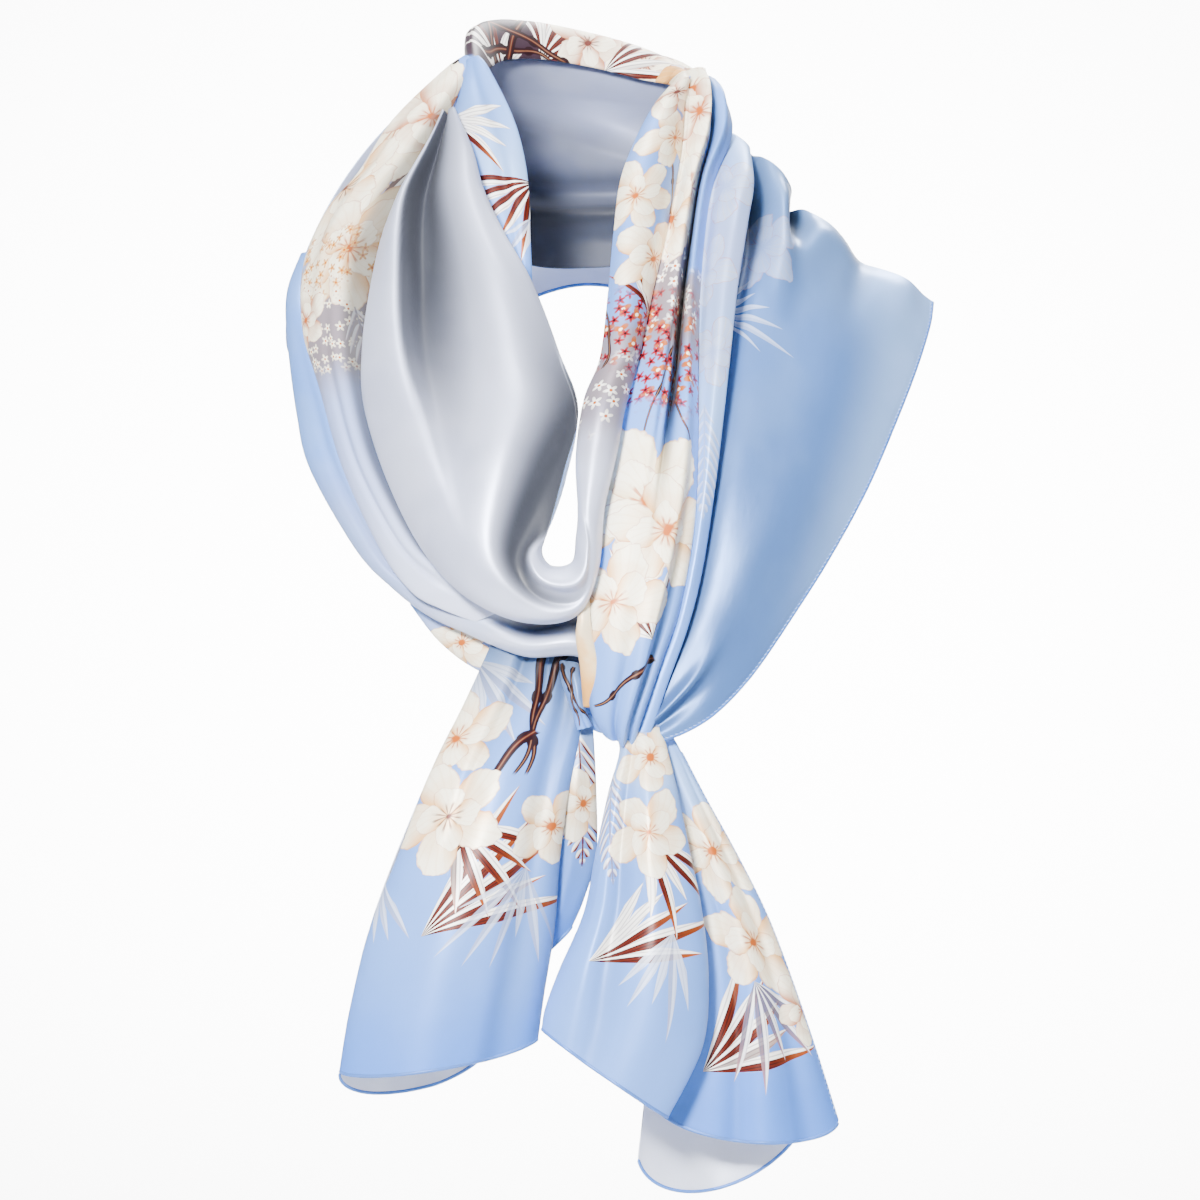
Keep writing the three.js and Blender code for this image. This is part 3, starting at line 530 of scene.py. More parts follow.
            (0.09, 0.18, [(0.4, 0.28, 0), (2, 0.28, -4), (4.4, 0.3, -4), (6, 0.36, -3),
                          (7, 0.4, -2)]),
            (0.2, 0.16, [(0.4, 0.5, 0), (2.4, 0.6, 3.5), (5, 0.66, 4), (7, 0.66, 3.5)]),
        ],
        # painted shade: across the top, where it comes out of the loop
        painted_shade=[
            (2, 2, [(0, 0.5, 0.3), (0.5, 0.5, 0.06), (1, 0.5, 0)]),
        ],
    ),
    "right_tail_side": dict(
        replaces=["right_tail_side"], slot="blue_ground",
        sides=("right_side_print", "silver_satin"),
        grid=(84, 140), round=0.8, cut=(0.1067, 0.2265), area=0.0116,
        sections=[
            [14, -117, -262, 30, -116, -262, 2, 0],
            [27, -122, -278, 39, -121, -278, 3, 0],
            [33, -124, -302, 52, -121, -303, 4, 0],
            [38, -124, -331, 68, -118, -332, 8, 0],
            [44, -123, -361, 83, -116, -362, 10, 0],
            [46, -123, -392, 95, -115, -393, 12, 0],
            [40, -123, -425, 107, -114, -428, 14, 2],
            [29, -123, -459, 119, -113, -466, 14, 13],
        ],
        folds=[
            (0.14, 0.12, [(1.4, 0.56, 0), (4, 0.54, 3.5), (7, 0.6, 4)]),
            (0.07, 0.08, [(1, 0.34, 0), (3.6, 0.36, -3), (7, 0.42, -3)]),
            (0.07, 0.07, [(1, 0.8, 0), (3.6, 0.78, -2.4), (7, 0.8, -2.6)]),
        ],
        # painted shade: along the left edge
        painted_shade=[
            (0.14, 0.14, [(0.4, 0.0, 0.2), (3, 0.04, 0.18), (7, 0.1, 0.1)]),
        ],
    ),
    "right_tail_back": dict(
        replaces=["right_tail_back"], slot="silver_reverse", sides=("silver_pale", "plain_blue"),
        grid=(64, 110), round=0.8, cut=(0.1148, 0.2439), area=0.0143,
        sections=[
            [6, -112, -262, 26, -112, -262, -1, 0],
            [14, -112, -300, 50, -117, -300, -2, 0],
            [22, -110, -361, 81, -112, -362, -4, 0],
            [24, -110, -428, 99, -111, -424, -8, 8],
            [19, -112, -484, 105, -110.5, -458, -9, 27],
        ],
        folds=[
            (0.14, 0.14, [(0.5, 0.5, 0), (2, 0.5, -1.6), (4, 0.46, -2.4)]),
            (0.07, 0.07, [(1, 0.76, 0), (2.4, 0.76, 1.6), (4, 0.76, 2)]),
        ],
        # painted shade: over the whole piece, most at its top
        painted_shade=[
            (2, 2, [(0, 0.5, 0.3), (2, 0.5, 0.15), (2.8, 0.5, 0)]),
        ],
    ),
}

# Hems: the stretch, the edge of it that is rolled, and the part of that edge.
HEMS = {
    "left_tail_front": [("end", 0.0, 1.0)],
    "left_tail_back": [("end", 0.0, 1.0)],
    "left_tail_side": [("end", 0.0, 1.0)],
    "right_tail_front": [("end", 0.0, 1.0)],
    "right_tail_side": [("end", 0.0, 1.0), ("right", 0.16, 1.0)],
    "right_tail_back": [("end", 0.0, 1.0)],
    "shoulder_panel": [("right", 0.0, 0.97)],
    "back_drape": [("right", 0.0, 1.0)],
}


# ---------------------------------------------------------------- cloth forms

def through(rows, share):
    """A smooth curve through rows of numbers: between two rows, the cubic whose
    slope at each is half the step from the row before it to the row after."""
    place = share * (len(rows) - 1)
    at = np.minimum(place.astype(int), len(rows) - 2)
    t = (place - at)[:, None]
    before = rows[np.maximum(at - 1, 0)]
    start = rows[at]
    end = rows[at + 1]
    after = rows[np.minimum(at + 2, len(rows) - 1)]
    start_slope = (end - before) / 2
    end_slope = (after - start) / 2
    bend = 3 * (end - start) - 2 * start_slope - end_slope
    twist = 2 * (start - end) + start_slope + end_slope
    return start + t * (start_slope + t * (bend + t * twist))


def unit(vectors):
    """Each vector over its length."""
    return vectors / np.maximum(np.linalg.norm(vectors, axis=-1, keepdims=True), 1e-12)


def eased(values, passes=3):
    """A row of numbers with its corners rounded: each becomes the mean of its
    neighbours within a fortieth of the row, a few times over."""
    reach = max(len(values) // 40, 1)
    kernel = np.ones(2 * reach + 1) / (2 * reach + 1)
    for _ in range(passes):
        values = np.convolve(np.pad(values, reach, mode="edge"), kernel, mode="valid")
    return values


def fold_height(folds, across, place):
    """The sum of the folds: height * exp(-(off / reach)^2), off being how far a
    point lies to the side of the fold's line."""
    height = np.zeros((len(place), across.shape[1]))
    for left, right, points in folds:
        at, line, tall = np.array(points, float).T
        line = eased(np.interp(place, at, line))
        tall = eased(np.interp(place, at, tall, right=tall[-1] if at[-1] >= place[-1] else 0))
        off = across - line[:, None]
        reach = np.where(off < 0, left, right)
        height += tall[:, None] * np.exp(-((off / reach) ** 2))
    return height


def shade_of(stretch):
    """How much shade is painted at each point, from 0 to 1: what the painted shade
    lists give, plus HOLLOW_SHADE times the depth of the folds over HOLLOW."""
    across_count, along_count = stretch["grid"]
    place = np.linspace(0, len(stretch["sections"]) - 1, along_count)
    across = shares_across(stretch)
    shade = fold_height(stretch.get("painted_shade", []), across, place)
    deep = np.clip(-fold_height(stretch["folds"], across, place) / HOLLOW, 0, 1)
    return np.clip(shade + HOLLOW_SHADE * deep, 0, 1)


def shares_across(stretch):
    """Shares of the width of the grid's columns, closer together at the edges
    where the cloth is round."""
    even = np.linspace(0, 1, stretch["grid"][0])[None, :]
    bunched = (1 - np.cos(np.pi * even)) / 2
    return even + (bunched - even) * stretch["round"]


def softness(across, share, seed, size):
    """Slow uneven ripples: crossed sine waves with phases from the seed."""
    draw = np.random.default_rng(seed)
    wave = np.zeros(np.broadcast(across, share).shape)
    for _ in range(4):
        a, b, c = draw.uniform(3, 12), draw.uniform(3, 18), draw.uniform(0, TAU)
        wave = wave + np.sin(a * across + b * share + c)
    return size * wave / 4


def cloth(stretch, seed):
    """Points of a stretch on a grid, rows along it: from left to right end of
    each section, plus the crown times sin(pi s), the folds and the softness
    along the section's outward normal, plus the dip along the cloth."""
    across_count, along_count = stretch["grid"]
    share = np.linspace(0, 1, along_count)
    sections = np.array(stretch["sections"], float)
    values = through(sections, share)
    left, right = values[:, None, 0:3], values[:, None, 3:6]
    crown, dip = values[:, 6:7], values[:, 7:8]
    chord = right - left
    flow = unit(np.gradient((left + right)[:, 0] / 2, axis=0))[:, None, :]
    out = unit(np.cross(flow, chord))
    even = np.linspace(0, 1, across_count)[None, :]
    across = shares_across(stretch)
    arch = np.sin(np.pi * even)
    edges = np.minimum(1, arch * stretch.get("firm", 2))
    lift = crown * arch
    lift = lift + edges * fold_height(stretch["folds"], across, share * (len(sections) - 1))
    lift = lift + edges * softness(across, share[:, None], seed, RIPPLE)
    points = left + chord * across[..., None] + out * lift[..., None]
    points = points + flow * (dip * arch)[..., None]
    return points * MM


def spread(line, count):
    """A line of points at even lengths along it."""
    run = lengths(line[None], 1)[0]
    even = np.linspace(0, run[-1], count)
    return np.stack([np.interp(even, run, line[:, k]) for k in range(3)], axis=1)


def over_shoulder(drape, pleat, panel):
    """The drape behind, its last fifth brought over to the line that the pieces
    in front start from: the pleat's first row to its middle, then the panel's."""
    top = pleat[0, : int(pleat.shape[1] * 0.5)]
    line = np.concatenate([drape[-1, :1], top, panel[0, 1:]])
    share = np.linspace(0, 1, len(drape))
    near = np.clip((share - 0.8) / 0.2, 0, 1)
    near = near * near * (3 - 2 * near)
    return drape + near[:, None, None] * (spread(line, drape.shape[1]) - drape[-1])


def lengths(points, axis):
    """Running length along one direction of a grid, from zero."""
    steps = np.linalg.norm(np.diff(points, axis=axis), axis=-1)
    zero = np.zeros_like(np.take(steps, [0], axis=axis))
    return np.cumsum(np.concatenate([zero, steps], axis=axis), axis=axis)


def flat_map(points):
    """Where each grid point lies on the flat cloth, in metres: across, the
    running length from the section's middle; along, that of the middle line."""
    across = lengths(points, 1)
    across = across - across[:, -1:] / 2
    middle = points.shape[1] // 2
    along = np.broadcast_to(lengths(points, 0)[:, middle:middle + 1], across.shape)
    return np.stack([across, along], axis=-1)


# --------------------------------------------------------------------- meshes

def grid_faces(rows, columns, wrap=False):
    """Corner numbers of every square of a grid, closed round if it wraps."""
    j = np.arange(rows - 1)[:, None]
    i = np.arange(columns if wrap else columns - 1)[None, :]
    after = (i + 1) % columns
    corners = np.stack([
        j * columns + i, (j + 1) * columns + i,
        (j + 1) * columns + after, j * columns + after,
    ], axis=-1)
    return corners.reshape(-1, 4)


def make_mesh(name, points, faces, materials, flat=None, finish=None, shade=None):
    """A smooth mesh object from points and four-cornered faces, with the flat
    map as its UV map, finish as each face's material and each point's painted shade."""
    mesh = bpy.data.meshes.new(name)
    points = points.reshape(-1, 3)
    mesh.vertices.add(len(points))
    mesh.vertices.foreach_set("co", points.astype(np.float32).ravel())
    mesh.loops.add(faces.size)
    mesh.loops.foreach_set("vertex_index", faces.astype(np.int32).ravel())
    mesh.polygons.add(len(faces))
    mesh.polygons.foreach_set("loop_start", np.arange(0, faces.size, 4, dtype=np.int32))
    for material in materials:
        mesh.materials.append(material)
    mesh.update(calc_edges=True)
    mesh.polygons.foreach_set("use_smooth", np.ones(len(faces), bool))
    if finish is not None:
        mesh.polygons.foreach_set("material_index", finish.astype(np.int32))
    if flat is not None:
        layer = mesh.uv_layers.new(name="Cloth")
        corners = flat.reshape(-1, 2)[faces.ravel()]
        layer.data.foreach_set("uv", corners.astype(np.float32).ravel())
    if shade is not None:
        layer = mesh.attributes.new("shade", "FLOAT", "POINT")
        layer.data.foreach_set("value", shade.astype(np.float32).ravel())
    piece = bpy.data.objects.new(name, mesh)
    bpy.context.collection.objects.link(piece)
    return piece


def thicken(piece):
    """Gives a sheet its wall, half to each side, with the reverse on its back."""
    wall = piece.modifiers.new("wall", "SOLIDIFY")
    wall.thickness = THICK
    wall.offset = 0
    wall.use_even_offset = True
    wall.material_offset = 1
    wall.material_offset_rim = 0


def edge_of(points, side, start, end):
    """One edge of a grid of points, between two shares of its length, with the
    way into the cloth and the way out of its face."""
    lines = {"end": (points[-1], points[-3]), "right": (points[:, -1], points[:, -3])}
    line, inner = lines[side]
    count = len(line)
    first, last = int(start * (count - 1)), int(end * (count - 1)) + 1
    line, inner = line[first:last], inner[first:last]
    along = unit(np.gradient(line, axis=0))
    inward = unit(inner - line)
    inward = unit(inward - along * (inward * along).sum(-1, keepdims=True))
    out = np.cross(inward, along) if side == "end" else np.cross(along, inward)
    return line, along, inward, out if side == "end" else -out


def roll(line, inward, out):
    """A rolled hem: an ellipse, wider along the cloth than it is thick, carried
    along the edge and closed at both ends to a point."""
    angle = np.linspace(0, TAU, HEM_SIDES, endpoint=False)
    taper = np.ones(len(line))
    taper[[0, -1]] = 0.02
    wide = (np.cos(angle) * HEM_RADII[0])[None, :, None] * inward[:, None, :]
    thick = (np.sin(angle) * HEM_RADII[1])[None, :, None] * out[:, None, :]
    return line[:, None, :] + (wide + thick) * taper[:, None, None]


def stitches(line, along, inward, out):
    """Slanted stitches on the face of a hem: one small ellipsoid for each pitch,
    as longitudes and latitudes scaled by the three radii and turned."""
    run = np.concatenate([[0], np.cumsum(np.linalg.norm(np.diff(line, axis=0), axis=1))])
    places = np.arange(STITCH_PITCH, run[-1] - STITCH_PITCH, STITCH_PITCH)
    pick = lambda rows: np.stack([np.interp(places, run, rows[:, k]) for k in range(3)], axis=1)
    at, way, into, face = pick(line), unit(pick(along)), unit(pick(inward)), unit(pick(out))
    at = at + into * HEM_RADII[0] * 0.9 + face * HEM_RADII[1] * 0.72
    slant = unit(way + into * 0.5)
    aside = unit(np.cross(face, slant))
    lat = np.linspace(-np.pi / 2, np.pi / 2, 5)[:, None]
    lon = np.linspace(0, TAU, 6, endpoint=False)[None, :]
    shape = np.stack(np.broadcast_arrays(
        np.sin(lat), np.cos(lat) * np.cos(lon), np.cos(lat) * np.sin(lon)), axis=-1)
    shape = (shape * np.array(STITCH_RADII)).reshape(-1, 3)
    frames = np.stack([slant, aside, face], axis=1)
    points = at[:, None, :] + np.einsum("kc,ncd->nkd", shape, frames)
    faces = grid_faces(5, 6, wrap=True)
    faces = faces[None] + (np.arange(len(places)) * len(shape))[:, None, None]
    return points.reshape(-1, 3), faces.reshape(-1, 4)


# ------------------------------------------------------------------- finishes

def ink(code):
    """A colour from its web code, as linear light."""
    parts = [int(code[i:i + 2], 16) / 255 for i in (1, 3, 5)]
    light = [p / 12.92 if p <= 0.04045 else ((p + 0.055) / 1.055) ** 2.4 for p in parts]
    return (*light, 1.0)


SILVER, SILVER_DEEP, SILVER_PALE = ink("#C6CDE6"), ink("#9AA3C4"), ink("#D9DFF2")
BLUE, BLUE_PALE, BLUE_DEEP = ink("#6592DF"), ink("#8DB1E8"), ink("#4A7EDA")
DUSK_BLUE, DUSK_PALE, LAVENDER = ink("#4B70AC"), ink("#678ABF"), ink("#96A8D8")
HEM_BLUE, THREAD = ink("#4A72BC"), ink("#9DBCEB")
CREAM, CREAM_GREY, PEACH = ink("#FFF7E0"), ink("#E2C799"), ink("#DDA055")
OCHRE, RUST, PLUM = ink("#AE5418"), ink("#541708"), ink("#1B070F")
RED, MAUVE, WHITE = ink("#8E0A1C"), ink("#847A82"), ink("#FBF8F2")
GHOST, PLUM_GREY = ink("#A9BCE2"), ink("#33242F")


class Field:
    """A number that changes over the cloth. Arithmetic on it adds Math nodes."""

    def __init__(self, finish, socket):
        self.finish, self.socket = finish, socket

    def do(self, operation, *others):
        return self.finish.maths(operation, self, *others)

    def __add__(self, other):
        return self.do("ADD", other)

    __radd__ = __add__

    def __sub__(self, other):
        return self.do("SUBTRACT", other)

    def __rsub__(self, other):
        return self.finish.maths("SUBTRACT", other, self)

    def __mul__(self, other):
        return self.do("MULTIPLY", other)

    __rmul__ = __mul__

    def __truediv__(self, other):
        return self.do("DIVIDE", other)

    def __rtruediv__(self, other):
        return self.finish.maths("DIVIDE", other, self)

    def __neg__(self):
        return self * -1

    def __abs__(self):
        return self.do("ABSOLUTE")

    def __pow__(self, other):
        return self.do("POWER", other)

    def sin(self):
        return self.do("SINE")

    def cos(self):
        return self.do("COSINE")

    def fract(self):
        return self.do("FRACT")

    def rounded(self):
        return (self + 0.5).do("FLOOR")

    def rise(self, low, high):
        """0 below low, 1 above high, smooth between."""
        made = self.finish.node(
            "ShaderNodeMapRange", {"interpolation_type": "SMOOTHSTEP"},
            {"Value": self, "From Min": low, "From Max": high})
        return Field(self.finish, made.outputs["Result"])

    def under(self, edge, blur=0.04):
        """1 where the number is below the edge, 0 above it."""
        return 1 - (self - edge).rise(-blur, blur)


class Nodes:
    """A tree of shader nodes: a finish, or a figure of the print."""

    def __init__(self, tree):
        self.tree = tree

    def node(self, kind, settings=None, inputs=None):
        made = self.tree.nodes.new(kind)
        for key, value in (settings or {}).items():
            setattr(made, key, value)
        for key, value in (inputs or {}).items():
            socket = made.inputs[key]
            value = value.socket if isinstance(value, Field) else value
            if isinstance(value, bpy.types.NodeSocket):
                self.tree.links.new(value, socket)
            else:
                socket.default_value = value
        return made

    def maths(self, operation, *values):
        made = self.node("ShaderNodeMath", {"operation": operation}, dict(enumerate(values)))
        return Field(self, made.outputs[0])

    def mix(self, first, second, share):
        """Colour first where share is 0 and second where it is 1."""
        made = self.node(
            "ShaderNodeMix", {"data_type": "RGBA"}, {0: share, 6: first, 7: second})
        return made.outputs[2]

    def pair(self, u, v):
        return self.node("ShaderNodeCombineXYZ", {}, {0: u, 1: v}).outputs[0]


class Figure(Nodes):
    """One figure of the print, kept as a group of nodes. It is given the place on
    the flat cloth in centimetres, and gives a colour and how thick it lies."""

    def __init__(self, name, numbers, colours=()):
        super().__init__(bpy.data.node_groups.new(name, "ShaderNodeTree"))
        sockets = [(key, "INPUT", "NodeSocketFloat") for key in ("u", "v", *numbers)]
        sockets += [(key, "INPUT", "NodeSocketColor") for key in colours]
        sockets += [("colour", "OUTPUT", "NodeSocketColor"), ("share", "OUTPUT", "NodeSocketFloat")]
        for key, way, kind in sockets:
            self.tree.interface.new_socket(key, in_out=way, socket_type=kind)
        self.given = self.node("NodeGroupInput").outputs

    def __getitem__(self, key):
        return Field(self, self.given[key])

    def turned(self):
        """The place seen from the figure's spot, turned: along and beside."""
        x, y = self["u"] - self["at u"], self["v"] - self["at v"]
        c, s = self["turn"].cos(), self["turn"].sin()
        return x * c + y * s, y * c - x * s

    def polar(self):
        x, y = self.turned()
        return (x * x + y * y) ** 0.5, self.maths("ARCTAN2", y, x)

    def done(self, colour, share):
        self.node("NodeGroupOutput", {}, {"colour": colour, "share": share})
        return self.tree


def blossom_figure():
    """Petals round a throat, a wide ring and a narrow one. The angle over a
    petal's share of the turn, less its whole part, is the place across a petal;
    the petal's half width is a power of one less a power of the way out. One
    side of each is in the next one's shade, and the edge is drawn."""
    f = Figure("blossom", ("at u", "at v", "turn", "size", "petals", "wobble"),
               ("tone", "deep", "heart"))
    far, angle = f.polar()
    reach = far / f["size"] + (f["wobble"] - 0.5) * 0.22
    colour, share = f.given["tone"], None
    for scale, spin, fewer in ((1.0, 0.0, 0), (0.58, 0.6, 1)):
        out = reach / scale
        count = f["petals"] - fewer
        place = (angle + spin) * (count / TAU) + out * 0.16
        number = place.rounded()
        aside = place - number
        chance = (((number / count + 0.01).fract() * 37.7 + f["at u"] * 3).sin() * 437.5).fract()
        way = out / (chance * 0.22 + 0.8)
        edge = (1 - way ** 2.6) ** 0.75 * 0.6 - abs(aside)
        petal = f.mix(f.given["deep"], f.given["tone"], aside.rise(-0.52, -0.08) * 0.85 + 0.15)
        petal = f.mix(petal, f.given["deep"], out.under(0.3, 0.26) * 0.65)
        veins = (aside * 40 + out * 4).sin().rise(0.5, 1.0) * way.rise(0.2, 0.5) * 0.22
        petal = f.mix(petal, CREAM_GREY, veins)
        if fewer == 0:
            petal = f.mix(petal, f.given["deep"], out.under(0.64, 0.1) * 0.25)
        petal = f.mix(OCHRE, petal, edge.rise(0.0, 0.06) * 0.65 + 0.35)
        shape = edge.rise(0.0, 0.014)
        colour = petal if share is None else f.mix(colour, petal, shape)
        share = shape if share is None else share.do("MAXIMUM", shape)
    stamens = (angle * 12).sin().rise(0.2, 0.7) * reach.under(0.2, 0.05) * 0.8
    colour = f.mix(colour, f.given["heart"], stamens.do("MAXIMUM", reach.under(0.075, 0.03)))
    return f.done(colour, share)


def fan_figure():
    """Lance leaves from one spot: the nearest leaf's number is the angle over
    the step between leaves, and its half width is a sine of the way out. Each is
    striped along, pale on one side and dark on the other."""
    f = Figure("fan", ("at u", "at v", "turn", "reach", "spread", "leaves", "width", "pale"))
    far, angle = f.polar()
    step = f["spread"] / f["leaves"]
    number = (angle / step).rounded()
    chance = ((number * 12.99 + f["at u"]).sin() * 437.5).fract()
    out = far / (f["reach"] * (chance * 0.45 + 0.6))
    aside = (angle - number * step) * far + (out * 3).sin() * 0.06
    half = ((out ** 0.8) * math.pi).sin() * f["width"] * 0.5
    edge = half - abs(aside)
    share = edge.rise(-0.01, 0.02) * out.under(0.99, 0.02) * abs(angle).under(f["spread"] / 2, 0.01)
    lit = f.mix(WHITE, MAUVE, (aside * 30 + chance).sin().rise(0.2, 1.0) * 0.6)
    dark = f.mix(RUST, PLUM, (aside * 40).sin().rise(0.1, 0.9) * 0.8)
    dark = f.mix(dark, OCHRE, out.rise(0.5, 1.0) * 0.7)
    leaf = f.mix(lit, dark, aside.rise(-0.02, 0.02) * chance.rise(0.2, 0.35))
    leaf = f.mix(OCHRE, leaf, edge.rise(0.0, 0.03) * 0.6 + 0.4)
    return f.done(f.mix(leaf, GHOST, f["pale"]), share * (1 - f["pale"] * 0.4))


def spray_figure():
    """Narrow leaves in pairs off a stem: the pair's number is the way along less
    the way aside over the lean, in steps along the stem."""
    f = Figure("spray", ("at u", "at v", "turn", "reach", "width", "pale"))
    x, y = f.turned()
    side, way = abs(y), x / f["reach"]
    off = ((x - side / 0.75) / 0.62).fract() - 0.5
    out = side / ((way * math.pi).sin() * f["width"] + 0.05)
    half = (out * math.pi).sin() * 0.38
    share = (half - abs(off)).rise(-0.04, 0.04) * out.under(0.98, 0.03)
    share = share * way.rise(0.02, 0.06) * way.under(0.97, 0.03)
    leaf = f.mix(WHITE, OCHRE, off.rise(-0.05, 0.08) * 0.8)
    leaf = f.mix(leaf, RUST, off.rise(0.06, 0.18))
    stem = side.under(0.05, 0.02) * way.rise(0, 0.02) * way.under(1, 0.02)
    leaf = f.mix(leaf, RUST, stem)
    return f.done(f.mix(leaf, GHOST, f["pale"]), share.do("MAXIMUM", stem) * (1 - f["pale"] * 0.4))


def twig_figure():
    """A branch: dark at its edges and warm along its back, swaying as a sine."""
    f = Figure("twig", ("at u", "at v", "turn", "reach", "width", "sway"))
    x, y = f.turned()
    way = x / f["reach"]
    line = abs(y - ((way * 5).sin() + (way * 13).sin() * 0.3) * f["sway"])
    thin = (1 - way * 0.65) * f["width"]
    knots = (way * 19).sin().rise(0.6, 1.0) * f["width"] * 0.35
    share = (line - thin - knots).under(0.0, 0.02) * way.rise(0, 0.02) * way.under(1, 0.02)
    bark = f.mix(RUST, CREAM_GREY, line.under(0.03, 0.03) * 0.15)
    return f.done(f.mix(bark, PLUM, (line / thin).rise(0.1, 0.5)), share)


def sprinkle_figure():
    """Small blossoms, one in each cell of a scattered lattice, some left out:
    their edge is a cosine of the angle in the cell."""
    f = Figure("sprinkle", ("size", "drop", "petals"), ("tone", "heart"))
    here = f.pair(f["u"], f["v"])
    cells = f.node("ShaderNodeTexVoronoi", {"voronoi_dimensions": "2D"}, {
        "Vector": here, "Scale": 1 / f["size"], "Randomness": 0.85})
    place = f.node("ShaderNodeVectorMath", {"operation": "SUBTRACT"},
                   {0: here, 1: cells.outputs["Position"]})
    parts = f.node("ShaderNodeSeparateXYZ", {}, {0: place.outputs[0]}).outputs
    x, y = Field(f, parts[0]), Field(f, parts[1])
    tint = f.node("ShaderNodeSeparateColor", {}, {0: cells.outputs["Color"]}).outputs
    chance, spin = Field(f, tint[0]), Field(f, tint[1]) * TAU
    far = (x * x + y * y) ** 0.5 / (f["size"] * 0.52)
    angle = f.maths("ARCTAN2", y, x) + spin
    edge = (angle * f["petals"]).cos() * 0.28 + 0.62
    share = (far - edge).under(0.0, 0.05) * chance.rise(f["drop"], f["drop"] + 0.02)
    colour = f.mix(f.given["tone"], MAUVE, far.rise(0.3, 0.9) * 0.4)
    return f.done(f.mix(colour, f.given["heart"], far.under(0.2, 0.05)), share)


FIGURES = {
    "blossom": blossom_figure(), "fan": fan_figure(), "spray": spray_figure(),
    "twig": twig_figure(), "sprinkle": sprinkle_figure(),
}


